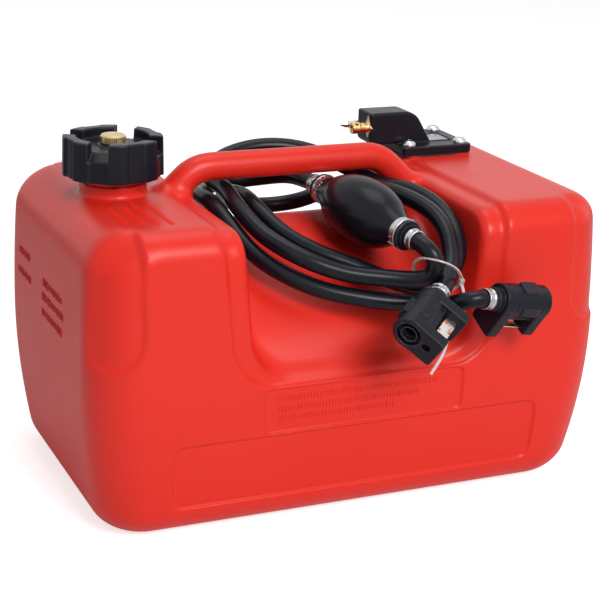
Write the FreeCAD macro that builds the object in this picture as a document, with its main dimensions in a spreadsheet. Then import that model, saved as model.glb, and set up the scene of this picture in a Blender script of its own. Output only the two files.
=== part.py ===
"""Portable outboard fuel tank with filler cap, level gauge, outlet and primer hose.

Frame: millimetres, +Z up, origin at the middle of the base, +X towards the gauge end,
-Y towards the side where the hose lies in the recess.
"""
import FreeCAD
import Part
import Sketcher
import math
import os
import re

from FreeCAD import Placement, Rotation, Vector

doc = FreeCAD.newDocument("outboard_fuel_tank")
sheet = doc.addObject("Spreadsheet::Sheet", "Sizes")

SIZES = (
    # tank moulding
    ("tank_length", 400.0),
    ("tank_width", 246.0),
    ("tank_height", 224.0),
    ("tank_wall", 3.2),
    ("tank_corner", 36.0),
    ("tank_top_round", 20.0),
    ("tank_foot_round", 24.0),
    ("tank_draw_in", 4.0),
    ("foot_draw_in", 13.0),
    # recess across the middle, under the handle
    ("saddle_height", 203.0),
    ("saddle_half_flat", 14.0),
    ("recess_half_width", 91.0),
    ("recess_taper", 8.0),
    ("recess_foot", 117.0),
    ("recess_corner", 26.0),
    ("recess_depth", 9.0),
    ("slope_end_drop", 38.0),
    ("slope_end_inset", 31.0),
    ("brow_inset", 14.0),
    ("brow_height", 31.0),
    ("ledge_side", 17.0),
    ("ledge_foot", 7.0),
    ("ledge_corner", 32.0),
    ("ledge_depth", 3.6),
    # handle
    ("handle_top", 248.5),
    ("handle_radius", 10.2),
    ("handle_bore", 7.2),
    ("handle_left", 86.0),
    ("handle_right", 60.0),
    ("handle_leg_run", 28.0),
    ("handle_bend", 22.0),
    # filler neck and cap
    ("cap_x", -149.0),
    ("neck_radius", 23.0),
    ("neck_bore", 19.0),
    ("neck_rise", 30.0),
    ("thread_pitch", 6.0),
    ("thread_depth", 2.0),
    ("thread_width", 2.2),
    ("thread_turns", 1.25),
    ("cap_radius", 34.2),
    ("cap_lobe", 1.7),
    ("cap_rim_gap", 14.0),
    ("cap_height", 28.0),
    ("cap_crown", 7.5),
    ("cap_crown_bore", 25.5),
    ("cap_bore", 26.0),
    ("cap_notch", 15.0),
    ("cap_turn", -125.0),
    ("gasket_thickness", 2.0),
    ("vent_knob_radius", 9.3),
    ("vent_knob_height", 6.0),
    ("vent_stem_radius", 3.0),
    ("vent_ring_section", 0.85),
    ("vent_ring_radius", 4.2),
    ("vent_ring_space", 2.0),
    ("bush_radius", 6.0),
    ("running_gap", 0.08),
    ("free_gap", 0.3),
    # gauge and outlet housing
    ("gauge_x", 134.0),
    ("gauge_y", 68.0),
    ("flange_length", 62.0),
    ("flange_width", 60.0),
    ("flange_height", 7.0),
    ("flange_gasket", 1.5),
    ("gauge_hole", 21.0),
    ("screw_span_x", 46.0),
    ("screw_span_y", 46.0),
    ("screw_radius", 2.5),
    ("screw_head_radius", 5.2),
    ("screw_head_height", 3.4),
    ("screw_length", 16.0),
    ("insert_radius", 4.2),
    ("insert_length", 11.0),
    ("boss_radius", 7.5),
    ("outlet_rise", 22.6),
    ("outlet_face", 79.2),
    ("block_width", 25.0),
    ("block_front", 51.0),
    ("block_over", 11.9),
    ("block_below", 13.6),
    ("block_top_length", 36.0),
    ("block_slope_run", 17.0),
    ("nozzle_y", 57.0),
    ("nozzle_radius", 4.3),
    ("nozzle_length", 17.0),
    ("nozzle_bore", 2.4),
    ("guide_pin_radius", 2.3),
    ("guide_pin_length", 25.0),
    ("pin_spacing", 14.5),
    ("lens_length", 19.0),
    ("lens_width", 24.0),
    ("lens_thickness", 2.0),
    ("float_radius", 11.5),
    ("float_height", 24.0),
    ("guide_rod", 1.5),
    ("guide_span", 7.5),
    ("strip_width", 5.0),
    ("strip_thickness", 0.8),
    ("strip_twist", 270.0),
    ("pickup_radius", 4.0),
    ("pickup_bore", 2.8),
    ("pickup_clear", 9.0),
    ("hole_shift", 5.0),
    ("lens_x", 11.0),
    ("dial_depth", 5.0),
    ("dial_plate", 0.8),
    ("spindle_radius", 1.2),
    ("pointer_reach", 7.0),
    ("shank_length", 13.0),
    ("diamond_height", 19.0),
    ("diamond_width", 12.0),
    ("diamond_plate", 1.5),
    ("diamond_depth", 0.8),
    ("pickup_x", 126.0),
    ("pickup_y", 58.0),
    ("guide_foot", 8.0),
    ("guide_plate", 4.0),
    ("float_seat", 12.5),
    # hose set
    ("hose_radius", 6.3),
    ("hose_bore", 4.0),
    ("ferrule_wall", 0.8),
    ("ferrule_length", 5.8),
    ("bulb_radius", 24.5),
    ("bulb_half_length", 42.0),
    ("bulb_wall", 3.0),
    ("bulb_neck_radius", 10.2),
    ("bulb_neck_half", 51.0),
    ("bulb_clamp_wall", 0.9),
    ("bulb_clamp_length", 9.0),
    ("bulb_x", 22.5),
    ("bulb_y", -57.5),
    ("bulb_z", 212.0),
    ("stub_radius", 7.4),
    ("stub_gap", 0.15),
    ("stub_length", 12.0),
    ("collar_radius", 11.0),
    ("collar_step", 2.2),
    ("collar_length", 6.5),
    ("way_radius", 2.4),
    ("barb_length", 6.6),
    ("disc_radius", 5.0),
    ("disc_gap", 0.4),
    ("disc_thickness", 1.2),
    ("valve_seat", 9.4),
    ("valve_lift", 2.0),
    ("hose_first_run", 12.9),
    # quick connectors
    ("socket_radius", 12.0),
    ("socket_length", 33.0),
    ("foot_reach", 24.0),
    ("foot_thickness", 9.0),
    ("wing_reach", 27.0),
    ("wing_thickness", 9.0),
    ("waist_reach", 11.0),
    ("waist_half", 9.0),
    ("rear_radius", 8.5),
    ("lip_radius", 8.8),
    ("lip_height", 0.6),
    ("socket_bore", 4.7),
    ("valve_face", 20.0),
    ("o_ring_radius", 5.75),
    ("o_ring_section", 1.0),
    ("o_ring_depth", 4.8),
    ("chamber_radius", 6.2),
    ("tail_seat", 49.0),
    ("tail_flange", 2.0),
    ("tail_plug", 9.0),
    ("poppet_head", 3.0),
    ("poppet_stem", 6.0),
    ("latch_reach", 22.0),
    ("latch_half", 6.2),
    ("latch_travel", 2.0),
    ("latch_plate", 1.2),
    ("tie_radius", 1.2),
)
for row, (alias, number) in enumerate(SIZES, start=1):
    sheet.set("A%d" % row, alias)
    sheet.set("B%d" % row, str(number))
    sheet.setAlias("B%d" % row, alias)
doc.recompute()

NODES = []


def linked(text):
    """Turn size names in a formula into references to the sheet."""
    return re.sub(r"[a-z][a-z_]+", lambda word: "Sizes." + word.group(0), text)


def amount(text):
    """The number that a formula of size names gives."""
    return float(sheet.evalExpression(linked(text)))


def bind(thing, prop, text):
    """Bind a property to a formula of size names."""
    thing.setExpression(prop, linked(text))


def keep(thing, label):
    """Hand an object in as a node under this name."""
    thing.Label = label
    NODES.append(thing)
    return thing


def plane(body, role):
    """One of a body's own origin planes."""
    for feature in body.Origin.OriginFeatures:
        if feature.Role == role:
            return feature
    raise ValueError(role)


def sketch_on(body, role, lift="0"):
    """An empty sketch on an origin plane, lifted along its normal."""
    sketch = body.newObject("Sketcher::SketchObject", body.Name + "_sketch")
    sketch.AttachmentSupport = [(plane(body, role), "")]
    sketch.MapMode = "FlatFace"
    bind(sketch, "AttachmentOffset.Base.z", lift)
    return sketch


def fix_point(sketch, edge, end, across, up):
    """Hold one end of an edge at a formula's distance from the sketch origin."""
    for kind, text in (("DistanceX", across), ("DistanceY", up)):
        index = sketch.addConstraint(Sketcher.Constraint(kind, -1, 1, edge, end, amount(text)))
        bind(sketch, "Constraints[%d]" % index, text)


def add_outline(sketch, corners):
    """A closed polygon whose corners are pairs of formulas."""
    spots = [Vector(amount(a), amount(b), 0) for a, b in corners]
    first = None
    for index, spot in enumerate(spots):
        after = spots[(index + 1) % len(spots)]
        edge = sketch.addGeometry(Part.LineSegment(spot, after), False)
        first = edge if first is None else first
    count = len(spots)
    for index in range(count):
        following = first + (index + 1) % count
        sketch.addConstraint(Sketcher.Constraint("Coincident", first + index, 2, following, 1))
    for index, (across, up) in enumerate(corners):
        fix_point(sketch, first + index, 1, across, up)


def add_circle(sketch, radius, across="0", up="0"):
    """A circle with its centre and radius given by formulas."""
    centre = Vector(amount(across), amount(up), 0)
    edge = sketch.addGeometry(Part.Circle(centre, Vector(0, 0, 1), amount(radius)), False)
    fix_point(sketch, edge, 3, across, up)
    index = sketch.addConstraint(Sketcher.Constraint("Radius", edge, amount(radius)))
    bind(sketch, "Constraints[%d]" % index, radius)


def turned(name, corners):
    """A body turned about its own Z axis from a closed radius and height outline."""
    body = doc.addObject("PartDesign::Body", name)
    sketch = sketch_on(body, "XZ_Plane")
    add_outline(sketch, corners)
    turn = body.newObject("PartDesign::Revolution", name + "_turn")
    turn.Profile = sketch
    turn.ReferenceAxis = (sketch, ["V_Axis"])
    turn.Angle = 360
    sketch.Visibility = False
    doc.recompute()
    return body


def extrude(body, kind, sketch, length, reverse=False):
    """Pad or pocket a sketch by a formula's length."""
    feature = body.newObject("PartDesign::" + kind, body.Name + "_" + kind.lower())
    feature.Profile = sketch
    feature.Reversed = reverse
    bind(feature, "Length", length)
    doc.recompute()
    return feature


def pad(body, sketch, length, reverse=False):
    return extrude(body, "Pad", sketch, length, reverse)


def pocket(body, sketch, length, reverse=False):
    """Cut a sketch into the body and check that it removed something."""
    before = body.Shape.Volume
    feature = extrude(body, "Pocket", sketch, length, reverse)
    if body.Shape.Volume > before - 1e-6:
        raise RuntimeError("the pocket %s cuts nothing" % feature.Name)
    return feature


def polar(body, feature, count):
    """Repeat a feature about the body's Z axis."""
    pattern = body.newObject("PartDesign::PolarPattern", feature.Name + "_round")
    pattern.Originals = [feature]
    pattern.Axis = (feature.Profile[0], ["N_Axis"])
    pattern.Angle = 360
    pattern.Occurrences = count
    body.Tip = pattern
    doc.recompute()
    return pattern


def place(thing, x="0", y="0", z="0", rotation=None):
    """Place an object; its position is bound to formulas of size names."""
    spot = Vector(amount(x), amount(y), amount(z))
    thing.Placement = Placement(spot, rotation or Rotation())
    for axis, text in zip("xyz", (x, y, z)):
        bind(thing, "Placement.Base." + axis, text)
    return thing


def solid_node(label, shape, placement=None):
    """A node whose form neither sketches nor primitives give."""
    feature = doc.addObject("Part::Feature", label)
    feature.Shape = shape
    feature.Placement = placement or Placement()
    return keep(feature, label)


def tool(name, shape):
    """A hidden shape that a boolean uses."""
    feature = doc.addObject("Part::Feature", name)
    feature.Shape = shape
    return feature


def boolean(kind, name, pieces):
    """A fuse or cut of document objects."""
    result = doc.addObject("Part::" + kind, name)
    if kind == "MultiFuse":
        result.Shapes = pieces
    else:
        result.Base, result.Tool = pieces
    doc.recompute()
    return result


def group(label, pieces):
    """Like pieces handed in as one node."""
    whole = doc.addObject("Part::Compound", label)
    whole.Links = pieces
    return keep(whole, label)


def cylinder(name, radius, height, x="0", y="0", z="0", rotation=None):
    """A Part cylinder with its sizes and place bound to formulas."""
    thing = doc.addObject("Part::Cylinder", name)
    bind(thing, "Radius", radius)
    bind(thing, "Height", height)
    return place(thing, x, y, z, rotation)


# ---------------------------------------------------------------- tank body

FAR_UP = amount("tank_height") + 80
BEYOND = 600.0


def rounded_rectangle(half_x, half_y, radius, z):
    """A level rectangle with round corners, as one closed wire."""
    edges = []
    a = half_x - radius
    b = half_y - radius
    diagonal = radius * math.sqrt(0.5)
    corners = ((a, b, 1, 1), (-a, b, -1, 1), (-a, -b, -1, -1), (a, -b, 1, -1))
    starts = []
    for x, y, sx, sy in corners:
        end_x = Vector(x + sx * radius, y, z)
        end_y = Vector(x, y + sy * radius, z)
        middle = Vector(x + sx * diagonal, y + sy * diagonal, z)
        first, last = (end_x, end_y) if sx * sy > 0 else (end_y, end_x)
        starts.append((first, last))
        edges.append(Part.Arc(first, middle, last).toShape())
        if len(starts) > 1:
            edges.append(Part.LineSegment(starts[-2][1], first).toShape())
    edges.append(Part.LineSegment(starts[-1][1], starts[0][0]).toShape())
    return Part.Wire(Part.__sortEdges__(edges))


def rounded_path(points, radii, closed=False):
    """Straight runs joined by tangent arcs; one radius for each inner point."""
    count = len(points)
    inner = range(count) if closed else range(1, count - 1)
    cuts = {}
    for index in inner:
        here = points[index]
        before = points[index - 1]
        after = points[(index + 1) % count]
        back = (before - here).normalize()
        ahead = (after - here).normalize()
        half = 0.5 * (math.pi - back.getAngle(ahead))
        radius = radii[index]
        if radius <= 0 or half < 1e-4:
            continue
        reach = radius * math.tan(half)
        bisector = (back + ahead).normalize()
        centre = here + bisector * (radius / math.cos(half))
        cuts[index] = (here + back * reach, centre - bisector * radius, here + ahead * reach)
    edges = []
    last = count if closed else count - 1
    for index in range(last):
        following = (index + 1) % count
        start = cuts[index][2] if index in cuts else points[index]
        end = cuts[following][0] if following in cuts else points[following]
        if (end - start).Length > 1e-6:
            edges.append(Part.LineSegment(start, end).toShape())
        if following in cuts:
            edges.append(Part.Arc(*cuts[following]).toShape())
    return Part.Wire(edges)


def prism(points, radii, along):
    """A closed outline with rounded corners, drawn out both ways along a vector."""
    face = Part.Face(rounded_path(points, radii, closed=True))
    face.translate(along * -0.5)
    return face.extrude(along)


def tank_form(inset):
    """The plain tank block, this far inside its outer skin."""
    half_x = amount("tank_length / 2") - inset
    half_y = amount("tank_width / 2") - inset
    height = amount("tank_height")
    corner = amount("tank_corner") - inset
    top = amount("tank_draw_in")
    foot = amount("foot_draw_in")
    belly = 0.55
    wires = []
    levels = 8
    for step in range(levels + 1):
        share = step / levels
        if share < belly:
            draw = foot * ((belly - share) / belly) ** 2
        else:
            draw = top * ((share - belly) / (1 - belly)) ** 2
        z = inset + share * (height - 2 * inset)
        wires.append(rounded_rectangle(half_x - draw, half_y - draw, corner, z))
    block = Part.makeLoft(wires, True, False)
    for z, radius in ((height - inset, amount("tank_top_round")), (inset, amount("tank_foot_round"))):
        rim = [edge for edge in block.Edges
               if all(abs(vertex.Point.z - z) < 1e-3 for vertex in edge.Vertexes)]
        block = block.makeFillet(radius - inset, rim)
    return block


def mouth_form(side, foot, corner):
    """The recess as seen from the front, widened at its sides and foot, through the whole tank."""
    top_half = amount("recess_half_width + recess_taper") + side
    foot_half = amount("recess_half_width - recess_taper") + side
    foot_z = amount("recess_foot") - foot
    plan = [Vector(-top_half, 0, FAR_UP), Vector(-foot_half, 0, foot_z),
            Vector(foot_half, 0, foot_z), Vector(top_half, 0, FAR_UP)]
    return prism(plan, (0.0, corner, corner, 0.0), Vector(0, BEYOND, 0))


def recess_form(grow):
    """The saddle under the handle and the label panels; grow is for the inner skin."""
    front = amount("tank_width / 2")
    crest = amount("saddle_height") - grow
    flat = amount("saddle_half_flat")
    slope_y = front - amount("slope_end_inset") - grow
    slope_z = crest - amount("slope_end_drop")
    brow_y = front - amount("brow_inset") - grow
    brow_z = amount("recess_foot + brow_height") - grow
    low = amount("recess_foot") - 40
    lean = amount("(brow_inset - recess_depth) / brow_height")
    half = ((flat, crest), (slope_y, slope_z), (brow_y, brow_z), (brow_y + lean * (brow_z - low), low),
            (BEYOND / 2, low), (BEYOND / 2, FAR_UP))
    section = [Vector(0, y, z) for y, z in half] + [Vector(0, -y, z) for y, z in reversed(half)]
    round_half = (25.0, 30.0, 25.0, 0.0, 0.0, 0.0)
    across = prism(section, round_half + tuple(reversed(round_half)), Vector(BEYOND, 0, 0))
    return across.common(mouth_form(grow, grow, amount("recess_corner") + grow))


def ledge_form(grow):
    """What the mould presses in round the recess, so that the two shoulders stand proud."""
    border = mouth_form(amount("ledge_side") + grow, amount("ledge_foot") + grow,
                        amount("ledge_corner") + grow)
    return border.cut(tank_form(amount("ledge_depth") + grow))


def handle_path(reach_down):
    """Centre line of the handle, from inside one shoulder to inside the other."""
    level = amount("handle_top - handle_radius")
    run = amount("handle_leg_run")
    left = -amount("handle_left")
    right = amount("handle_right")
    bend = amount("handle_bend")
    points = [Vector(left - run, 0, level - reach_down), Vector(left, 0, level),
              Vector(right, 0, level), Vector(right + run, 0, level - reach_down)]
    return rounded_path(points, (0.0, bend, bend, 0.0))


def swept(path, radius):
    """A round bar along a path of lines and arcs."""
    start = path.Edges[0]
    direction = start.tangentAt(start.FirstParameter)
    begin = start.valueAt(start.FirstParameter)
    ring = Part.Wire(Part.Circle(begin, direction, radius).toShape())
    return path.makePipeShell([ring], True, True)


def thread_rib(root, crest, z_start, turns):
    """A helical rib between two radii, standing on the root."""
    pitch = amount("thread_pitch")
    wide = amount("thread_width / 2")
    narrow = 0.6 * wide
    helix = Part.makeHelix(pitch, pitch * turns, root)
    section = Part.makePolygon([Vector(root, 0, -wide), Vector(crest, 0, -narrow),
                                Vector(crest, 0, narrow), Vector(root, 0, wide), Vector(root, 0, -wide)])
    rib = Part.Wire(helix.Edges).makePipeShell([section], True, True)
    rib.translate(Vector(0, 0, z_start))
    return rib


def screw_spots():
    """The four flange screw positions."""
    x = amount("gauge_x")
    y = amount("gauge_y")
    dx = amount("screw_span_x / 2")
    dy = amount("screw_span_y / 2")
    return [Vector(x + i * dx, y + j * dy, 0) for i in (-1, 1) for j in (-1, 1)]


def build_tank():
    """The hollow blow-moulded shell with its screw bosses, and the handle and neck on it."""
    wall = amount("tank_wall")
    height = amount("tank_height")
    drop = 26.0
    outer = tank_form(0.0).cut([ledge_form(0.0), recess_form(0.0)])
    inner = tank_form(wall).cut([ledge_form(wall), recess_form(wall)])
    grip = swept(handle_path(drop), amount("handle_radius"))
    grip_bore = swept(handle_path(drop), amount("handle_bore"))
    solid_node("tank_handle", grip.cut(outer).cut(grip_bore))

    neck_at = Vector(amount("cap_x"), 0, height)
    neck = Part.makeCylinder(amount("neck_radius"), amount("neck_rise"), neck_at)
    rib = thread_rib(amount("neck_radius - 0.2"), amount("neck_radius + thread_depth"),
                     amount("tank_height + cap_rim_gap + 4"), amount("thread_turns"))
    rib.translate(Vector(amount("cap_x"), 0, 0))
    neck_bore = Part.makeCylinder(amount("neck_bore"), amount("neck_rise") + 40, neck_at - Vector(0, 0, 20))
    solid_node("filler_neck", neck.fuse(rib).cut(neck_bore))

    tank = outer.cut(inner)
    boss_depth = amount("insert_length") + 2 * wall
    for spot in screw_spots():
        boss = Part.makeCylinder(amount("boss_radius"), boss_depth, spot + Vector(0, 0, height - boss_depth - 0.5))
        tank = tank.fuse(boss)
    hole_at = Vector(amount("gauge_x + hole_shift"), amount("gauge_y"), height - 30)
    gauge_bore = Part.makeCylinder(amount("gauge_hole"), 60, hole_at)
    tank = tank.cut([grip_bore, neck_bore, gauge_bore])
    for spot in screw_spots():
        seat = Part.makeCylinder(amount("insert_radius"), amount("insert_length"),
                                 spot + Vector(0, 0, height - amount("insert_length")))
        tank = tank.cut(seat)
    solid_node("tank_body", tank.removeSplitter())


build_tank()


# ---------------------------------------------------------------- filler cap and vent

def swung(corners):
    """The same outline, swung by a sixteenth of a turn about the origin."""
    return [("(%s) * 0.92388 - (%s) * 0.38268" % (a, b), "(%s) * 0.38268 + (%s) * 0.92388" % (a, b))
            for a, b in corners]


def build_cap():
    """The screw cap: lobed skirt, notched crown, inner thread and a boss for the vent."""
    cap = turned("cap_moulding", (
        ("bush_radius", "neck_rise - cap_rim_gap + gasket_thickness"),
        ("cap_bore", "neck_rise - cap_rim_gap + gasket_thickness"),
        ("cap_bore", "0"),
        ("cap_radius", "0"),
        ("cap_radius", "cap_height"),
        ("cap_crown_bore", "cap_height"),
        ("cap_crown_bore", "cap_height - cap_crown"),
        ("bush_radius", "cap_height - cap_crown"),
    ))
    lobe = sketch_on(cap, "XY_Plane")
    add_outline(lobe, swung((
        ("cap_bore + 2", "-cap_radius * 0.26"),
        ("cap_radius + cap_lobe", "-cap_radius * 0.2"),
        ("cap_radius + cap_lobe", "cap_radius * 0.2"),
        ("cap_bore + 2", "cap_radius * 0.26"),
    )))
    polar(cap, pad(cap, lobe, "cap_height - 1"), 8)
    notch = sketch_on(cap, "XY_Plane", "cap_height + 1")
    add_outline(notch, (
        ("bush_radius + 12", "-cap_notch / 2"),
        ("cap_radius + 6", "-cap_notch / 2"),
        ("cap_radius + 6", "cap_notch / 2"),
        ("bush_radius + 12", "cap_notch / 2"),
    ))
    polar(cap, pocket(cap, notch, "cap_crown + 1"), 4)
    rib = thread_rib(amount("cap_bore + 0.2"), amount("cap_bore - thread_depth"),
                     amount("4 + thread_pitch / 2 + thread_pitch * cap_turn / 360"), amount("thread_turns"))
    thread = tool("cap_thread", rib)
    whole = keep(boolean("Fuse", "filler_cap", (cap, thread)), "filler_cap")
    place(whole, "cap_x", "0", "tank_height + cap_rim_gap", Rotation(Vector(0, 0, 1), amount("cap_turn")))
    seat = "tank_height + neck_rise"
    gasket = keep(turned("cap_gasket", (
        ("neck_bore - 0.5", "0"), ("neck_radius + 0.5", "0"),
        ("neck_radius + 0.5", "gasket_thickness"), ("neck_bore - 0.5", "gasket_thickness"),
    )), "cap_gasket")
    place(gasket, "cap_x", "0", seat)
    floor = "neck_rise - cap_rim_gap + gasket_thickness"
    bush = keep(turned("vent_bush", (
        ("vent_stem_radius + running_gap", floor + " - 2"),
        ("bush_radius + 2", floor + " - 2"),
        ("bush_radius + 2", floor),
        ("bush_radius", floor),
        ("bush_radius", "cap_height - cap_crown"),
        ("vent_stem_radius + running_gap", "cap_height - cap_crown"),
    )), "vent_bush")
    place(bush, "cap_x", "0", "tank_height + cap_rim_gap")


def build_vent():
    """The knurled brass vent knob and the ring that it presses on the bush."""
    seat = "tank_height + cap_rim_gap + cap_height - cap_crown"
    knob = turned("vent_screw", (
        ("0", "-12"), ("vent_stem_radius - 1", "-12"), ("vent_stem_radius", "-11"),
        ("vent_stem_radius", "vent_ring_space"), ("vent_knob_radius - 0.6", "vent_ring_space"),
        ("vent_knob_radius", "vent_ring_space + 0.6"),
        ("vent_knob_radius", "vent_ring_space + vent_knob_height - 1"),
        ("vent_knob_radius - 1", "vent_ring_space + vent_knob_height"),
        ("0", "vent_ring_space + vent_knob_height"),
    ))
    cut = sketch_on(knob, "XY_Plane", "vent_ring_space + vent_knob_height + 1")
    add_circle(cut, "0.45", "vent_knob_radius", "0")
    polar(knob, pocket(knob, cut, "vent_knob_height + 2"), 24)
    place(keep(knob, "vent_screw"), "cap_x", "0", seat)
    ring = doc.addObject("Part::Torus", "vent_o_ring")
    bind(ring, "Radius1", "vent_ring_radius")
    bind(ring, "Radius2", "vent_ring_section")
    place(keep(ring, "vent_o_ring"), "cap_x", "0", seat + " + vent_ring_space / 2")


build_cap()
build_vent()


# ---------------------------------------------------------------- gauge and outlet

GAUGE_BASE = "tank_height + flange_gasket"
BACK = Rotation(Vector(0, 1, 0), -90)


def bar(start, end, radius):
    """A round bar between two points."""
    return Part.makeCylinder(radius, (end - start).Length, start, end - start)


def chamfered(half_x, half_y, cut):
    """Corner formulas of a rectangle with its corners cut off."""
    return (
        ("%s - %s" % (half_x, cut), "-(%s)" % half_y), (half_x, "-(%s) + %s" % (half_y, cut)),
        (half_x, "%s - %s" % (half_y, cut)), ("%s - %s" % (half_x, cut), half_y),
        ("-(%s) + %s" % (half_x, cut), half_y), ("-(%s)" % half_x, "%s - %s" % (half_y, cut)),
        ("-(%s)" % half_x, "-(%s) + %s" % (half_y, cut)), ("-(%s) + %s" % (half_x, cut), "-(%s)" % half_y),
    )


def box_corners(x, y, length, width):
    """Corner formulas of a rectangle about a centre."""
    left = "%s - (%s) / 2" % (x, length)
    right = "%s + (%s) / 2" % (x, length)
    near = "%s - (%s) / 2" % (y, width)
    far = "%s + (%s) / 2" % (y, width)
    return ((left, near), (right, near), (right, far), (left, far))


def screw_circles(sketch, radius):
    for x in ("-screw_span_x / 2", "screw_span_x / 2"):
        for y in ("-screw_span_y / 2", "screw_span_y / 2"):
            add_circle(sketch, radius, x, y)


def build_housing():
    """The moulded flange and outlet block, with its window seat and drilled fuel way."""
    body = doc.addObject("PartDesign::Body", "housing_moulding")
    flange = sketch_on(body, "XY_Plane")
    add_outline(flange, chamfered("flange_length / 2", "flange_width / 2", "3"))
    pad(body, flange, "flange_height")
    block = sketch_on(body, "XZ_Plane", "gauge_y - block_front - block_width")
    level = "outlet_rise - flange_gasket"
    under = level + " - block_below"
    top = level + " + block_over"
    face = "outlet_face - gauge_x"
    edge = "-flange_length / 2 + 3"
    add_outline(block, (
        (face, under), (face, top),
        (face + " + block_top_length", top),
        (face + " + block_top_length + 5", top + " - 4"),
        (face + " + block_top_length + block_slope_run", "flange_height"),
        (face + " + block_top_length + block_slope_run", "1"),
        (edge, "1"), (edge, under),
    ))
    pad(body, block, "block_width")
    seat = sketch_on(body, "XY_Plane", "flange_height")
    add_outline(seat, box_corners("lens_x", "0", "lens_length", "lens_width"))
    pocket(body, seat, "lens_thickness")
    well = sketch_on(body, "XY_Plane", "flange_height")
    add_outline(well, box_corners("lens_x", "0", "lens_length - 3", "lens_width - 3"))
    pocket(body, well, "dial_depth")
    holes = sketch_on(body, "XY_Plane", "flange_height")
    screw_circles(holes, "screw_radius + 0.1")
    add_circle(holes, "spindle_radius + running_gap", "lens_x", "0")
    pocket(body, holes, "flange_height + 1")
    drill = amount("nozzle_bore")
    face_x = amount(face)
    nozzle_y = amount("nozzle_y - gauge_y")
    pin_y = amount("nozzle_y + pin_spacing - gauge_y")
    level = amount(level)
    turn_x = face_x + amount("block_top_length")
    low = amount("flange_height / 2 + 0.6")
    tube = Vector(amount("pickup_x - gauge_x"), amount("pickup_y - gauge_y"), 0)
    ways = (
        bar(Vector(face_x - 1, nozzle_y, level), Vector(turn_x + drill, nozzle_y, level), drill),
        bar(Vector(turn_x, nozzle_y, low - drill), Vector(turn_x, nozzle_y, level), drill),
        bar(Vector(turn_x, nozzle_y, low), tube + Vector(0, 0, low), 0.8 * drill),
        bar(tube - Vector(0, 0, 1), tube + Vector(0, 0, low), amount("pickup_radius")),
        bar(Vector(face_x - 1, nozzle_y, level), Vector(face_x + amount("shank_length"), nozzle_y, level),
            amount("nozzle_radius - 0.8")),
        bar(Vector(face_x - 1, pin_y, level), Vector(face_x + amount("shank_length - 3"), pin_y, level),
            amount("guide_pin_radius - 0.5")),
    )
    diamond = Part.Face(Part.makePolygon([
        Vector(face_x - 1, nozzle_y, level + amount("diamond_height / 2")),
        Vector(face_x - 1, nozzle_y + amount("diamond_width / 2"), level),
        Vector(face_x - 1, nozzle_y, level - amount("diamond_height / 2")),
        Vector(face_x - 1, nozzle_y - amount("diamond_width / 2"), level),
        Vector(face_x - 1, nozzle_y, level + amount("diamond_height / 2")),
    ])).extrude(Vector(1 + amount("diamond_depth + diamond_plate"), 0, 0))
    cut = tool("housing_drillings", ways[0].multiFuse(list(ways[1:]) + [diamond]))
    whole = keep(boolean("Cut", "gauge_housing", (body, cut)), "gauge_housing")
    place(whole, "gauge_x", "gauge_y", GAUGE_BASE)


def build_outlet():
    """The brass outlet nozzle on its diamond plate, and the steel guide pin beside it."""
    body = doc.addObject("PartDesign::Body", "nozzle_turning")
    plate = sketch_on(body, "XY_Plane", "-diamond_depth - diamond_plate")
    add_outline(plate, (
        ("diamond_height / 2 - 0.1", "0"), ("0", "diamond_width / 2 - 0.1"),
        ("-diamond_height / 2 + 0.1", "0"), ("0", "-diamond_width / 2 + 0.1"),
    ))
    pad(body, plate, "diamond_plate")
    shank = sketch_on(body, "XY_Plane", "-shank_length")
    add_circle(shank, "nozzle_radius - 0.8")
    pad(body, shank, "shank_length - diamond_depth")
    barrel = sketch_on(body, "XY_Plane", "-diamond_depth")
    add_circle(barrel, "nozzle_radius")
    pad(body, barrel, "nozzle_length + diamond_depth")
    bore = sketch_on(body, "XY_Plane", "nozzle_length")
    add_circle(bore, "nozzle_bore")
    pocket(body, bore, "nozzle_length + shank_length + 1")
    side = tool("nozzle_side_hole", bar(Vector(0, 0, amount("nozzle_length - 4")),
                                        Vector(8, 0, amount("nozzle_length - 4")), 1.2))
    side.Placement = Placement(Vector(), Rotation(Vector(0, 0, 1), 60))
    nozzle = keep(boolean("Cut", "outlet_nozzle", (body, side)), "outlet_nozzle")
    place(nozzle, "outlet_face", "nozzle_y", "tank_height + outlet_rise", BACK)
    pin = keep(turned("nozzle_guide_pin", (
        ("0", "3 - shank_length"), ("guide_pin_radius - 0.5", "3 - shank_length"),
        ("guide_pin_radius - 0.5", "0"), ("guide_pin_radius", "0"),
        ("guide_pin_radius", "guide_pin_length - 8"), ("guide_pin_radius - 0.4", "guide_pin_length - 7.5"),
        ("guide_pin_radius - 0.4", "guide_pin_length - 6.5"), ("guide_pin_radius", "guide_pin_length - 6"),
        ("0.5", "guide_pin_length"), ("0", "guide_pin_length"),
    )), "nozzle_guide_pin")
    place(pin, "outlet_face", "nozzle_y + pin_spacing", "tank_height + outlet_rise", BACK)


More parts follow.
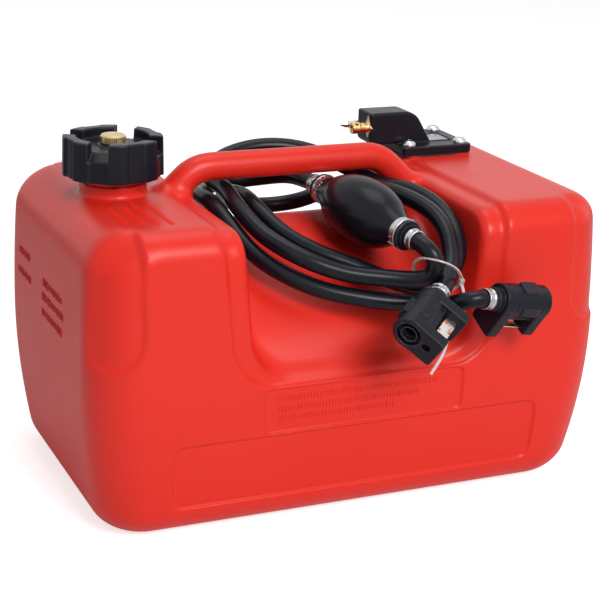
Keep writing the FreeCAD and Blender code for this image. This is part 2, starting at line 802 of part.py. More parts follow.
def build_gauge():
    """Gasket, window, dial, pointer, twisted strip, float and its guide."""
    gasket = doc.addObject("PartDesign::Body", "gauge_gasket")
    ring = sketch_on(gasket, "XY_Plane")
    add_outline(ring, chamfered("flange_length / 2 - 0.5", "flange_width / 2 - 0.5", "3"))
    pad(gasket, ring, "flange_gasket")
    holes = sketch_on(gasket, "XY_Plane", "flange_gasket")
    screw_circles(holes, "screw_radius + 0.1")
    add_circle(holes, "gauge_hole", "hole_shift", "0")
    pocket(gasket, holes, "flange_gasket + 1")
    place(keep(gasket, "gauge_gasket"), "gauge_x", "gauge_y", "tank_height")

    lens = doc.addObject("Part::Box", "gauge_lens")
    bind(lens, "Length", "lens_length")
    bind(lens, "Width", "lens_width")
    bind(lens, "Height", "lens_thickness")
    place(keep(lens, "gauge_lens"), "gauge_x + lens_x - lens_length / 2", "gauge_y - lens_width / 2",
          GAUGE_BASE + " + flange_height - lens_thickness")

    dial = doc.addObject("PartDesign::Body", "gauge_dial")
    card = sketch_on(dial, "XY_Plane")
    add_outline(card, box_corners("0", "0", "lens_length - 3.4", "lens_width - 3.4"))
    pad(dial, card, "dial_plate")
    eye = sketch_on(dial, "XY_Plane", "dial_plate")
    add_circle(eye, "spindle_radius + 0.6")
    pocket(dial, eye, "dial_plate + 1")
    place(keep(dial, "gauge_dial"), "gauge_x + lens_x", "gauge_y",
          GAUGE_BASE + " + flange_height - dial_depth")

    pointer = doc.addObject("PartDesign::Body", "gauge_pointer")
    hub = sketch_on(pointer, "XY_Plane")
    add_circle(hub, "spindle_radius + 1")
    pad(pointer, hub, "0.7")
    arm = sketch_on(pointer, "XY_Plane")
    add_outline(arm, (("-3", "-0.7"), ("pointer_reach", "-0.2"), ("pointer_reach", "0.2"), ("-3", "0.7")))
    pad(pointer, arm, "0.5")
    eye = sketch_on(pointer, "XY_Plane", "0.7")
    add_circle(eye, "spindle_radius")
    pocket(pointer, eye, "1.2")
    place(keep(pointer, "gauge_pointer"), "gauge_x + lens_x", "gauge_y",
          GAUGE_BASE + " + flange_height - dial_depth + dial_plate + free_gap")

    foot = amount("guide_foot")
    plate = amount("guide_plate")
    base = amount(GAUGE_BASE)
    strip_foot = foot + plate + 1.0
    strip_top = base - 2.0
    half_w = amount("strip_width / 2")
    half_t = amount("strip_thickness / 2")
    twist = amount("strip_twist")
    steps = 36
    rings = []
    for step in range(steps + 1):
        turn = Rotation(Vector(0, 0, 1), twist * step / steps)
        z = strip_foot + (strip_top - strip_foot) * step / steps
        corners = [Vector(i * half_w, j * half_t, 0) for i, j in ((1, 1), (-1, 1), (-1, -1), (1, -1), (1, 1))]
        rings.append(Part.makePolygon([turn.multVec(corner) + Vector(0, 0, z) for corner in corners]))
    strip = Part.makeLoft(rings, True, True)
    spindle = amount("spindle_radius")
    top = base + amount("flange_height - dial_depth + dial_plate + free_gap") + 0.7
    strip = strip.fuse(bar(Vector(0, 0, strip_top - 1), Vector(0, 0, top), spindle))
    strip = strip.fuse(bar(Vector(0, 0, foot + 1), Vector(0, 0, strip_foot + 1), 1.0))
    strip_x = amount("gauge_x + lens_x")
    solid_node("gauge_strip", strip, Placement(Vector(strip_x, amount("gauge_y"), 0), Rotation()))

    slot_turn = twist * (amount("float_seat + float_height / 2") - strip_foot) / (strip_top - strip_foot)
    radius = amount("float_radius")
    tall = amount("float_height")
    drum = Part.makeCylinder(radius, tall)
    drum = drum.makeFillet(2.0, [e for e in drum.Edges if len(e.Vertexes) == 1])
    drum = drum.cut(Part.makeCylinder(half_w + 1.0, tall / 2 - 0.6))
    drum = drum.cut(Part.makeCylinder(half_w + 1.0, tall, Vector(0, 0, tall / 2 + 0.6)))
    slot = Part.makeBox(2 * half_w + 0.8, 2 * half_t + 0.8, tall, Vector(-half_w - 0.4, -half_t - 0.4, 0))
    slot.rotate(Vector(), Vector(0, 0, 1), slot_turn)
    drum = drum.cut(slot)
    for side in (-1, 1):
        rod_at = Vector(0, side * amount("guide_span"), -1)
        drum = drum.cut(Part.makeCylinder(amount("guide_rod + free_gap"), tall + 2, rod_at))
    solid_node("gauge_float", drum, Placement(Vector(strip_x, amount("gauge_y"), amount("float_seat")), Rotation()))

    guide = Part.makeCylinder(amount("guide_span + guide_rod + 2"), plate, Vector(0, 0, foot))
    guide = guide.cut(Part.makeCylinder(1.0 + amount("running_gap"), plate, Vector(0, 0, foot + 1 - 0.3)))
    for side in (-1, 1):
        rod_at = Vector(0, side * amount("guide_span"), foot)
        guide = guide.fuse(Part.makeCylinder(amount("guide_rod"), base - foot, rod_at))
    solid_node("float_guide", guide, Placement(Vector(strip_x, amount("gauge_y"), 0), Rotation()))


def build_pickup():
    """The brass pick-up tube and the slotted strainer on its foot."""
    tube = keep(turned("pickup_tube", (
        ("pickup_bore", "pickup_clear"), ("pickup_radius", "pickup_clear"),
        ("pickup_radius", GAUGE_BASE + " + flange_height / 2 - 1.4"),
        ("pickup_bore", GAUGE_BASE + " + flange_height / 2 - 1.4"),
    )), "pickup_tube")
    place(tube, "pickup_x", "pickup_y", "0")
    cup = turned("pickup_strainer", (
        ("0", "tank_wall + 1"), ("pickup_radius + 2", "tank_wall + 1"),
        ("pickup_radius + 2", "pickup_clear + 5"), ("pickup_radius", "pickup_clear + 7"),
        ("pickup_radius", "pickup_clear"), ("pickup_radius + 0.8", "pickup_clear - 1"),
        ("pickup_radius + 0.8", "tank_wall + 2.2"), ("0", "tank_wall + 2.2"),
    ))
    slot = sketch_on(cup, "XY_Plane", "pickup_clear - 1.2")
    add_outline(slot, box_corners("pickup_radius + 1.5", "0", "3", "1.4"))
    polar(cup, pocket(cup, slot, "pickup_clear - tank_wall - 3.6"), 10)
    place(keep(cup, "pickup_strainer"), "pickup_x", "pickup_y", "0")


def at_screws(label, make, z):
    """Four copies of a turned fastener at the flange screws, as one node."""
    copies = []
    for index, (i, j) in enumerate(((-1, -1), (1, -1), (1, 1), (-1, 1))):
        piece = make("%s_%d" % (label, index))
        place(piece, "gauge_x + (%d) * screw_span_x / 2" % i, "gauge_y + (%d) * screw_span_y / 2" % j, z)
        copies.append(piece)
    group(label, copies)


def flange_screw(name):
    """A domed screw with a driver socket."""
    return turned(name, (
        ("0", "-screw_length"), ("screw_radius - 0.6", "-screw_length"), ("screw_radius", "0.8 - screw_length"),
        ("screw_radius", "0"), ("screw_head_radius", "0"),
        ("screw_head_radius * 0.96", "screw_head_height * 0.4"),
        ("screw_head_radius * 0.75", "screw_head_height * 0.8"),
        ("screw_head_radius * 0.4", "screw_head_height"),
        ("1.5", "screw_head_height"), ("1.5", "screw_head_height - 1.6"), ("0", "screw_head_height - 1.9"),
    ))


def threaded_insert(name):
    return turned(name, (
        ("screw_radius + 0.05", "0"), ("insert_radius", "0"),
        ("insert_radius", "insert_length"), ("screw_radius + 0.05", "insert_length"),
    ))


build_housing()
build_outlet()
build_gauge()
build_pickup()
at_screws("flange_screws", flange_screw, GAUGE_BASE + " + flange_height")
at_screws("threaded_inserts", threaded_insert, "tank_height - insert_length")

# ---------------------------------------------------------------- primer bulb

def along(direction, sideways=None):
    """The rotation that takes Z to a direction and X as near as it can to another."""
    z = Vector(direction).normalize()
    x = Vector(sideways or Vector(1, 0, 0))
    x = (x - z * x.dot(z)).normalize()
    y = z.cross(x)
    return Rotation(x, y, z, "ZXY")


BULB_CENTRE = Vector(amount("bulb_x"), amount("bulb_y"), amount("bulb_z"))
BULB_AXIS = Vector(0.195, -0.975, -0.103).normalize()
COLLARS = {
    "outlet": Placement(BULB_CENTRE + BULB_AXIS * amount("bulb_neck_half"), along(BULB_AXIS)),
    "inlet": Placement(BULB_CENTRE - BULB_AXIS * amount("bulb_neck_half"), along(-BULB_AXIS)),
}


def ellipsoid(name, half_length, radius):
    thing = doc.addObject("Part::Ellipsoid", name)
    bind(thing, "Radius1", half_length)
    bind(thing, "Radius2", radius)
    bind(thing, "Radius3", radius)
    return thing


def build_bulb():
    """The rubber bulb with a plain neck at each end."""
    neck = "2 * bulb_neck_half"
    outer = boolean("Fuse", "bulb_outside", (
        ellipsoid("bulb_belly", "bulb_half_length", "bulb_radius"),
        cylinder("bulb_necks", "bulb_neck_radius", neck, z="-bulb_neck_half")))
    inner = boolean("Fuse", "bulb_inside", (
        ellipsoid("bulb_hollow", "bulb_half_length - bulb_wall", "bulb_radius - bulb_wall"),
        cylinder("bulb_mouths", "stub_radius + stub_gap", neck, z="-bulb_neck_half")))
    bulb = keep(boolean("Cut", "bulb", (outer, inner)), "bulb")
    bulb.Placement = Placement(BULB_CENTRE, along(BULB_AXIS))


def build_collar(end):
    """One stepped end of the bulb: stub, flange, steps and barb, with its valve chamber."""
    collar = turned(end + "_moulding", (
        ("way_radius", "-stub_length"), ("stub_radius", "-stub_length"), ("stub_radius", "0"),
        ("collar_radius", "0"), ("collar_radius", "collar_step"),
        ("collar_radius - 2", "collar_step"), ("collar_radius - 2", "2 * collar_step"),
        ("hose_radius + 0.7", "2 * collar_step"), ("hose_radius + 0.7", "collar_length"),
        ("hose_bore - 0.1", "collar_length"), ("hose_bore - 0.1", "collar_length + barb_length - 1"),
        ("hose_bore - 0.7", "collar_length + barb_length"), ("way_radius", "collar_length + barb_length"),
    ))
    chamber = cylinder(end + "_chamber", "disc_radius + disc_gap", "disc_thickness + valve_lift + 2 * free_gap",
                       z="-valve_seat")
    far_side = "-valve_seat" if end == "inlet" else "disc_thickness + valve_lift + 2 * free_gap - valve_seat"
    slots = []
    for turn in (0, 90):
        slot = doc.addObject("Part::Box", "%s_slot_%d" % (end, turn))
        bind(slot, "Length", "2 * (disc_radius + disc_gap)")
        bind(slot, "Width", "1.6")
        bind(slot, "Height", "1.6")
        shift = Vector(-amount("disc_radius + disc_gap"), -0.8, amount(far_side) - 0.8)
        turned_by = Rotation(Vector(0, 0, 1), turn)
        slot.Placement = Placement(turned_by.multVec(shift), turned_by)
        slots.append(slot)
    ways = boolean("MultiFuse", end + "_ways", [chamber] + slots)
    whole = keep(boolean("Cut", end + "_collar", (collar, ways)), end + "_collar")
    whole.Placement = COLLARS[end]
    disc = keep(cylinder(end + "_disc", "disc_radius", "disc_thickness"), end + "_disc")
    rest = amount("free_gap - valve_seat")
    if end == "inlet":
        rest += amount("valve_lift")
    disc.setExpression("Placement.Base.z", None)
    disc.setExpression("Placement.Base.x", None)
    disc.setExpression("Placement.Base.y", None)
    disc.Placement = COLLARS[end].multiply(Placement(Vector(0, 0, rest), Rotation()))


def band(name, bore, wall, length, placement):
    """A steel clamp band at a placement, its middle at that origin."""
    outer = amount(bore) + amount(wall)
    ring = bar(Vector(0, 0, -amount(length) / 2), Vector(0, 0, amount(length) / 2), outer)
    ring = ring.cut(bar(Vector(0, 0, -amount(length)), Vector(0, 0, amount(length)), amount(bore)))
    lug = Part.makeBox(0.9, amount(wall) * 1.3, amount(length) * 0.7,
                       Vector(-0.45, outer - 0.3, -0.35 * amount(length)))
    thing = tool(name, ring.fuse(lug))
    thing.Placement = placement
    return thing


build_bulb()
for end in ("inlet", "outlet"):
    build_collar(end)
CLAMP_AT = Placement(Vector(0, 0, -amount("bulb_clamp_length / 2 + 0.8")), Rotation(Vector(0, 0, 1), 130))
group("bulb_clamps", [
    band(end + "_clamp", "bulb_neck_radius", "bulb_clamp_wall", "bulb_clamp_length",
         COLLARS[end].multiply(CLAMP_AT)) for end in ("inlet", "outlet")])


# ---------------------------------------------------------------- hoses

def hose_start(end):
    """Where a hose meets its collar, and the point one short run further on."""
    first = COLLARS[end].multVec(Vector(0, 0, amount("collar_length")))
    second = COLLARS[end].multVec(Vector(0, 0, amount("collar_length + hose_first_run")))
    return [first, second]


ENGINE_ROUTE = hose_start("outlet") + [Vector(*spot) for spot in (
    # curls back under the outlet and runs to the left
    (42.4, -134.6, 197), (42.4, -133.4, 185.5), (36.2, -127.3, 179.5), (26, -120.5, 178.5),
    (9, -113.5, 179.5), (-14, -105, 182), (-40, -92, 191), (-60, -68, 202.5), (-66, -34, 214.5),
    # under the handle and round behind it
    (-63, 0, 221), (-68, 30, 224), (-48, 50, 233), (-14, 54, 239), (20, 46, 236), (45, 22, 225.5),
    # forward again, round the right of the recess and back to the left
    (57.8, -6, 217), (74, -28, 218), (83, -56, 213), (84, -84, 203), (80, -102, 187),
    (68, -108, 171), (48, -107, 165.5), (28, -98, 170), (6, -83, 179), (-18, -70, 187),
    (-38, -50, 197.5), (-48, -25, 211),
    # a second time under the handle and behind it, lower down
    (-48, 2, 215), (-54, 32, 210), (-38, 60, 193.5), (-8, 74, 184), (23, 66, 187), (38, 42, 202),
    # forward to the first quick connector
    (37.5, 12, 216), (46, -16, 219.5), (59, -44, 219), (69, -72, 214), (70, -96, 206),
    (66.5, -112, 193.5), (61.5, -122.5, 185), (51.2, -137, 179), (37.2, -148.4, 173.7),
)]
TANK_ROUTE = hose_start("inlet") + [Vector(*spot) for spot in (
    # round behind the handle to the left
    (3, 38, 218), (-14, 60, 211), (-42, 64, 208.5), (-68, 46, 209), (-79, 18, 214),
    # forward under the handle and along the front
    (-78, -12, 214.8), (-74, -42, 202.5), (-66, -66, 188.5), (-50, -84, 178), (-28, -100, 169),
    (0, -112, 164), (20, -118.5, 161.5), (36, -121, 160), (46, -129.5, 161), (51, -141, 163.5),
    # to the second quick connector
    (55.5, -151, 168.5), (65, -156.8, 172), (76, -154.8, 169.8),
)]


def cord_radii(points):
    """For each inner point, the largest arc that its two runs have room for."""
    radii = [0.0]
    for before, here, after in zip(points, points[1:], points[2:]):
        back = before - here
        ahead = after - here
        half_turn = 0.5 * (math.pi - back.getAngle(ahead))
        radii.append(0.45 * min(back.Length, ahead.Length) / math.tan(half_turn))
    return radii + [0.0]


def build_hose(label, points):
    """A hose as straight runs and tangent arcs, drilled right through."""
    radii = cord_radii(points)
    path = rounded_path(points, radii)
    outer = amount("hose_radius")
    inner = amount("hose_bore")
    hose = swept(path, outer).cut(swept(path, inner))
    expected = math.pi * (outer ** 2 - inner ** 2) * path.Length
    print(label, "length %.0f" % path.Length, "volume ratio %.4f" % (hose.Volume / expected))
    print("  radii", " ".join("%.0f" % radius for radius in radii[1:-1]))
    solid_node(label, hose)


build_hose("hose_engine_side", ENGINE_ROUTE)
build_hose("hose_tank_side", TANK_ROUTE)


# ---------------------------------------------------------------- quick connectors

def connector_place(route, sideways):
    """A connector's frame: origin at its mouth, Z out of its face, X towards its guide hole."""
    direction = (route[-1] - route[-2]).normalize()
    mouth = route[-1] + direction * amount("tail_seat")
    return Placement(mouth, along(direction, sideways))


def helical_spring(radius, wire, length, turns):
    """A compression spring standing on the XY plane, as short runs and tangent arcs."""
    steps = 12 * turns
    points = []
    for step in range(steps + 1):
        angle = 2 * math.pi * turns * step / steps
        height = wire + (length - 2 * wire) * step / steps
        points.append(Vector(radius * math.cos(angle), radius * math.sin(angle), height))
    return swept(rounded_path(points, cord_radii(points)), wire)


def build_connector(name, frame):
    """One female quick connector with its latch, valve and tail."""
    body = doc.addObject("PartDesign::Body", name + "_moulding")
    barrel = sketch_on(body, "XY_Plane", "-socket_length")
    add_circle(barrel, "socket_radius")
    pad(body, barrel, "socket_length")
    waist = sketch_on(body, "XY_Plane", "-socket_length")
    add_outline(waist, (("0", "-waist_half"), ("waist_reach", "-waist_half"),
                        ("waist_reach", "waist_half"), ("0", "waist_half")))
    pad(body, waist, "socket_length")
    foot = sketch_on(body, "XY_Plane", "-foot_thickness")
    add_outline(foot, (("0", "0.5 - socket_radius"), ("foot_reach - 2", "0.5 - socket_radius"),
                       ("foot_reach", "2.5 - socket_radius"), ("foot_reach", "socket_radius - 2.5"),
                       ("foot_reach - 2", "socket_radius - 0.5"), ("0", "socket_radius - 0.5")))
    pad(body, foot, "foot_thickness")
    wing = sketch_on(body, "XY_Plane", "-socket_length - wing_thickness")
    add_outline(wing, (("4 - socket_radius", "-socket_radius"), ("wing_reach - 3", "-socket_radius"),
                       ("wing_reach", "3 - socket_radius"), ("wing_reach", "socket_radius - 3"),
                       ("wing_reach - 3", "socket_radius"), ("4 - socket_radius", "socket_radius"),
                       ("-socket_radius", "socket_radius - 4"), ("-socket_radius", "4 - socket_radius")))
    pad(body, wing, "wing_thickness")
    rear = sketch_on(body, "XY_Plane", "-tail_seat + tail_flange")
    add_circle(rear, "rear_radius")
    pad(body, rear, "tail_seat - tail_flange - socket_length")
    lip = sketch_on(body, "XY_Plane")
    add_circle(lip, "lip_radius")
    pad(body, lip, "lip_height")
    bore = sketch_on(body, "XY_Plane", "lip_height")
    add_circle(bore, "socket_bore")
    pocket(body, bore, "lip_height + valve_face + 1")
    guide = sketch_on(body, "XY_Plane")
    add_circle(guide, "guide_pin_radius + 0.6", "pin_spacing")
    pocket(body, guide, "foot_thickness")
    groove = cylinder(name + "_groove", "o_ring_radius + o_ring_section + 0.1", "2 * o_ring_section + 0.2",
                      z="-o_ring_depth - o_ring_section - 0.1")
    chamber = cylinder(name + "_chamber", "chamber_radius", "tail_seat - tail_flange - valve_face",
                       z="tail_flange - tail_seat")
    hollow = boolean("Fuse", name + "_hollow", (groove, chamber))
    whole = keep(boolean("Cut", name + "_body", (body, hollow)), name + "_body")
    whole.Placement = frame

    ring = doc.addObject("Part::Torus", name + "_o_ring")
    bind(ring, "Radius1", "o_ring_radius")
    bind(ring, "Radius2", "o_ring_section")
    keep(ring, name + "_o_ring")
    ring.Placement = frame.multiply(Placement(Vector(0, 0, -amount("o_ring_depth")), Rotation()))

    tail = keep(turned(name + "_tail", (
        ("way_radius", "-tail_seat - barb_length"), ("hose_bore - 0.7", "-tail_seat - barb_length"),
        ("hose_bore - 0.1", "1 - tail_seat - barb_length"), ("hose_bore - 0.1", "-tail_seat"),
        ("hose_radius + 1", "-tail_seat"), ("hose_radius + 1", "tail_flange - tail_seat"),
        ("chamber_radius - 0.05", "tail_flange - tail_seat"),
        ("chamber_radius - 0.05", "tail_flange + tail_plug - tail_seat"),
        ("way_radius", "tail_flange + tail_plug - tail_seat"),
    )), name + "_tail")
    tail.Placement = frame

    poppet = keep(turned(name + "_poppet", (
        ("0", "-valve_face - free_gap - poppet_head - poppet_stem"),
        ("1.5", "-valve_face - free_gap - poppet_head - poppet_stem"),
        ("1.5", "-valve_face - free_gap - poppet_head"),
        ("chamber_radius - 0.4", "-valve_face - free_gap - poppet_head"),
        ("chamber_radius - 0.4", "-valve_face - free_gap"),
        ("0", "-valve_face - free_gap"),
    )), name + "_poppet")
    poppet.Placement = frame
    spring_foot = amount("tail_flange + tail_plug - tail_seat + 2 * free_gap")
    spring_head = amount("-valve_face - 2 * free_gap - poppet_head")
    coil = helical_spring(amount("chamber_radius - 1.6"), 0.45, spring_head - spring_foot, 4)
    solid_node(name + "_valve_spring", coil, frame.multiply(Placement(Vector(0, 0, spring_foot), Rotation())))

    plate = amount("latch_plate")
    low = amount("free_gap - socket_length")
    deep = amount("socket_length - foot_thickness - 2 * free_gap")
    outer = amount("latch_reach")
    inner = amount("waist_reach + latch_travel + 0.3")
    high = amount("latch_half")
    top = Part.makeBox(outer - inner, plate, deep, Vector(inner, high - plate, low))
    side = Part.makeBox(plate, 2 * high, deep, Vector(outer - plate, -high, low))
    solid_node(name + "_latch", top.fuse(side).removeSplitter(), frame)
    reach = outer - plate - amount("socket_radius + 3 * free_gap")
    coil = helical_spring(2.6, 0.4, reach, 4)
    turn = Rotation(Vector(0, 1, 0), 90)
    spot = Vector(amount("socket_radius + 2 * free_gap"), 0, amount("4.5 - socket_length"))
    solid_node(name + "_latch_spring", coil, frame.multiply(Placement(spot, turn)))


CONNECTORS = {
    "connector_a": connector_place(ENGINE_ROUTE, Vector(0.65, -0.50, -0.57)),
    "connector_b": connector_place(TANK_ROUTE, Vector(-0.30, 0.45, -0.84)),
}
for name, frame in CONNECTORS.items():
    build_connector(name, frame)

FERRULE_AT = Placement(Vector(0, 0, amount("collar_length + ferrule_length / 2 + 0.2")), Rotation())
TAIL_FERRULE_AT = Placement(Vector(0, 0, -amount("tail_seat + ferrule_length / 2 + 0.2")), Rotation())
group("ferrules", [
    band("ferrule_%d" % index, "hose_radius", "ferrule_wall", "ferrule_length", spot)
    for index, spot in enumerate([COLLARS[end].multiply(FERRULE_AT) for end in ("inlet", "outlet")]
                                 + [frame.multiply(TAIL_FERRULE_AT) for frame in CONNECTORS.values()])])


# ---------------------------------------------------------------- cable tie

TIE_LOOP = [Vector(*spot) for spot in (
    (60.6, -138.6, 177.5), (58.2, -131.8, 169.6), (46, -121.3, 169.8), (35.5, -115.2, 176.5),
    (29.7, -118, 190), (30.2, -128, 194), (33.6, -138.9, 197.3), (41.5, -144.2, 197.2), (50, -143, 193.4),
    (57.4, -141.6, 188), (61, -139.8, 181),
)]
TIE_TAIL = [Vector(*spot) for spot in (
    (60.9, -139, 178.5), (63.5, -144.5, 165), (55.5, -150.5, 152.5), (47.5, -149, 143), (45, -150.5, 134),
    (40.5, -151, 126), (34, -152, 118),
)]


def build_tie():
    """A thin tie round the bundle, whose long tail hangs down from its lock."""
    radius = amount("tie_radius")
    loop = swept(rounded_path(TIE_LOOP, cord_radii(TIE_LOOP)), radius)
    tail = swept(rounded_path(TIE_TAIL, cord_radii(TIE_TAIL)), radius)
    lock = Part.makeBox(4.6, 4.0, 5.0, Vector(-2.3, -2.0, -2.5))
    lock.Placement = Placement(Vector(62, -139.8, 179.3), along(TIE_TAIL[1] - TIE_TAIL[0]))
    solid_node("cable_tie", loop.fuse([tail, lock]))


build_tie()

doc.recompute()
for thing in doc.Objects:
    if "Invalid" in thing.State or "Error" in thing.State:
        raise RuntimeError("%s is in state %s" % (thing.Label, thing.State))
for node in NODES:
    if node.Shape.isNull() or not node.Shape.isValid():
        raise RuntimeError("%s has no valid shape" % node.Label)

os.makedirs("parts", exist_ok=True)
for node in NODES:
    node.Shape.exportStep("parts/%s.step" % node.Label)
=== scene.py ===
"""Looks of a portable outboard fuel tank with its cap, gauge, outlet and primer hose."""
import bmesh
import bpy
import math
import numpy as np
from mathutils import Matrix, Vector


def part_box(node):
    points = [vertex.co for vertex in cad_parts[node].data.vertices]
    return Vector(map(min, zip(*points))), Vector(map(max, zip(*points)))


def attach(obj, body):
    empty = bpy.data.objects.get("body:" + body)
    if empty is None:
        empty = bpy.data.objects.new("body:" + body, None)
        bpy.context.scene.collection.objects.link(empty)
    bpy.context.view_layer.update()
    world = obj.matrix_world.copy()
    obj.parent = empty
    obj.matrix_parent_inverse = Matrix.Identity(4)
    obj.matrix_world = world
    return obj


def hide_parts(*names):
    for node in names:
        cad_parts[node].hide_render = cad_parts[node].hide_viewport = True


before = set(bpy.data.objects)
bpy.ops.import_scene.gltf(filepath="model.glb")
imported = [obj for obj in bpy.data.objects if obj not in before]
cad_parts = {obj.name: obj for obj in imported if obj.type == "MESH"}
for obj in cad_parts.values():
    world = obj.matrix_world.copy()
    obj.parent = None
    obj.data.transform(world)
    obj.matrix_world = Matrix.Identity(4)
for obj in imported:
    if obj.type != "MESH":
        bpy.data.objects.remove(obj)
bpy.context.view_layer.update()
scene = bpy.context.scene

# ---------------------------------------------------------------- camera
# A long lens looks down on the cap end and the front, a little rolled to the right. The three
# angles are in radians.

yaw, pitch, roll = 0.42093, 0.319433, 0.0349066
camera_spot = Vector((-0.4833, -1.08, 0.5192))
ahead = Vector((math.sin(yaw) * math.cos(pitch), math.cos(yaw) * math.cos(pitch), -math.sin(pitch)))
level = Vector((math.cos(yaw), -math.sin(yaw), 0))
above = level.cross(ahead)
right = level * math.cos(roll) + above * math.sin(roll)
up = above * math.cos(roll) - level * math.sin(roll)
lens = bpy.data.cameras.new("camera")
lens.lens = 97.22
lens.clip_start = 0.05
camera = bpy.data.objects.new("camera", lens)
camera.matrix_world = Matrix.Translation(camera_spot) @ Matrix((right, up, -ahead)).transposed().to_4x4()
scene.collection.objects.link(camera)
scene.camera = camera
scene.view_settings.view_transform = "Standard"


# ---------------------------------------------------------------- lamps and floor
# A white room: a broad lamp over the front, a second overhead, a faint one at the cap end, and a
# pale floor. Room and floor look brighter than the light they give to the tank.

ROOM_LIGHT = 0.21
FLOOR_GLOW = 0.7


def lamp(name, spot, target, size, power):
    """An area lamp of this size in metres and power in watts, turned to its target."""
    light = bpy.data.lights.new(name, "AREA")
    light.shape = "RECTANGLE"
    light.size, light.size_y = size
    light.energy = power
    thing = bpy.data.objects.new(name, light)
    thing.location = spot
    thing.rotation_euler = (Vector(target) - Vector(spot)).to_track_quat("-Z", "Y").to_euler()
    scene.collection.objects.link(thing)


lamp("lamp_over_front", (0.1, -1.65, 1.3), (0, 0, 0.1), (0.9, 0.7), 26.5)
lamp("lamp_overhead", (0.1, 0.3, 2.2), (0, 0, 0.1), (1.2, 1.2), 11)
lamp("lamp_cap_end", (-2.0, 0.1, 1.0), (0, 0, 0.12), (0.8, 1.2), 0.4)

world = bpy.data.worlds.new("room")
scene.world = world
world.use_nodes = True
sky = world.node_tree
ray = sky.nodes.new("ShaderNodeLightPath")
seen = None
for name in ("Is Camera Ray", "Is Glossy Ray", "Is Transmission Ray"):
    if seen is None:
        seen = ray.outputs[name]
        continue
    either = sky.nodes.new("ShaderNodeMath")
    either.operation = "MAXIMUM"
    sky.links.new(seen, either.inputs[0])
    sky.links.new(ray.outputs[name], either.inputs[1])
    seen = either.outputs[0]
strength = sky.nodes.new("ShaderNodeMapRange")
strength.inputs["To Min"].default_value = ROOM_LIGHT
strength.inputs["To Max"].default_value = 1.0
sky.links.new(seen, strength.inputs["Value"])
sky.links.new(strength.outputs[0], sky.nodes["Background"].inputs["Strength"])
sky.nodes["Background"].inputs["Color"].default_value = (1, 1, 1, 1)


class Value:
    """A node's output, so that maths on it reads as plain sums."""

    def __init__(self, owner, socket):
        self.owner = owner
        self.socket = socket

    def __add__(self, other):
        return self.owner.maths("ADD", self, other)

    def __mul__(self, other):
        return self.owner.maths("MULTIPLY", self, other)

    def __sub__(self, other):
        return self.owner.maths("SUBTRACT", self, other)

    def __rsub__(self, other):
        return self.owner.maths("SUBTRACT", other, self)

    def __truediv__(self, other):
        return self.owner.maths("DIVIDE", self, other)

    def __rtruediv__(self, other):
        return self.owner.maths("DIVIDE", other, self)

    __radd__ = __add__
    __rmul__ = __mul__


class Nodes:
    """A node tree that is filled through one method."""

    def __init__(self, tree):
        self.tree = tree

    def join(self, socket, value):
        if isinstance(value, Value):
            self.tree.links.new(value.socket, socket)
        elif hasattr(value, "__len__") and len(value) == 3 and socket.type == "RGBA":
            socket.default_value = (*value, 1)
        else:
            socket.default_value = value

    def node(self, kind, settings, sockets, output=0):
        made = self.tree.nodes.new(kind)
        for name, value in settings.items():
            setattr(made, name, value)
        for name, value in sockets.items():
            self.join(made.inputs[name], value)
        return Value(self, made.outputs[output])

    def maths(self, operation, *values):
        return self.node("ShaderNodeMath", {"operation": operation}, dict(enumerate(values)))


class Finish(Nodes):
    """A material that ends in one Principled shader, and the record's slot that it stands for."""

    def __init__(self, name, slot, **sockets):
        self.slot = slot
        self.material = bpy.data.materials.new(name)
        self.material.use_nodes = True
        super().__init__(self.material.node_tree)
        self.shader = self.tree.nodes["Principled BSDF"]
        self.spot = self.node("ShaderNodeTexCoord", {}, {}, "Object")
        self.set(**sockets)

    def set(self, **sockets):
        for name, value in sockets.items():
            self.join(self.shader.inputs[name.replace("_", " ")], value)

    def noise(self, scale, detail=2.0, stretch=(1, 1, 1)):
        spot = self.node("ShaderNodeMapping", {}, {"Vector": self.spot, "Scale": stretch})
        return self.node("ShaderNodeTexNoise", {}, {"Vector": spot, "Scale": scale, "Detail": detail}, "Fac")

    def between(self, low, high, share):
        """A number or colour that goes from low to high as share goes from 0 to 1."""
        if hasattr(low, "__len__"):
            return self.node("ShaderNodeMix", {"data_type": "RGBA"}, {"Factor": share, 6: low, 7: high}, 2)
        return share * (high - low) + low

    def rise(self, value, start, end):
        """0 below start, 1 above end and smooth between them."""
        return self.node("ShaderNodeMapRange", {"interpolation_type": "SMOOTHSTEP"},
                         {"Value": value, "From Min": start, "From Max": end})

    def edges(self, start=0.51, end=0.56):
        """1 on raised edges and 0 on flat faces."""
        return self.rise(self.node("ShaderNodeNewGeometry", {}, {}, "Pointiness"), start, end)

    def bump(self, height, depth):
        """Feeds the normal from a height from 0 to 1 and its depth in metres."""
        sockets = {"Height": height, "Distance": depth, "Strength": 1.0}
        self.set(Normal=self.node("ShaderNodeBump", {}, sockets))


floor_mesh = bpy.data.meshes.new("floor")
floor_mesh.from_pydata([(-6, -6, 0), (6, -6, 0), (6, 6, 0), (-6, 6, 0)], [], [(0, 1, 2, 3)])
floor = bpy.data.objects.new("floor", floor_mesh)
scene.collection.objects.link(floor)
floor_paint = Finish("floor_paint", None, Base_Color=(0.9, 0.9, 0.9), Roughness=0.9, Specular_IOR_Level=0.1)
straight = floor_paint.node("ShaderNodeLightPath", {}, {}, "Is Camera Ray")
floor_paint.set(Emission_Color=(1, 1, 1), Emission_Strength=straight * FLOOR_GLOW)
floor_mesh.materials.append(floor_paint.material)


# ---------------------------------------------------------------- tank
# One blow-moulded shell of red polyethylene. The handle, the recess for the hose, the raised
# shoulders and the framed panels are all pressed by the mould, so every edge is soft.

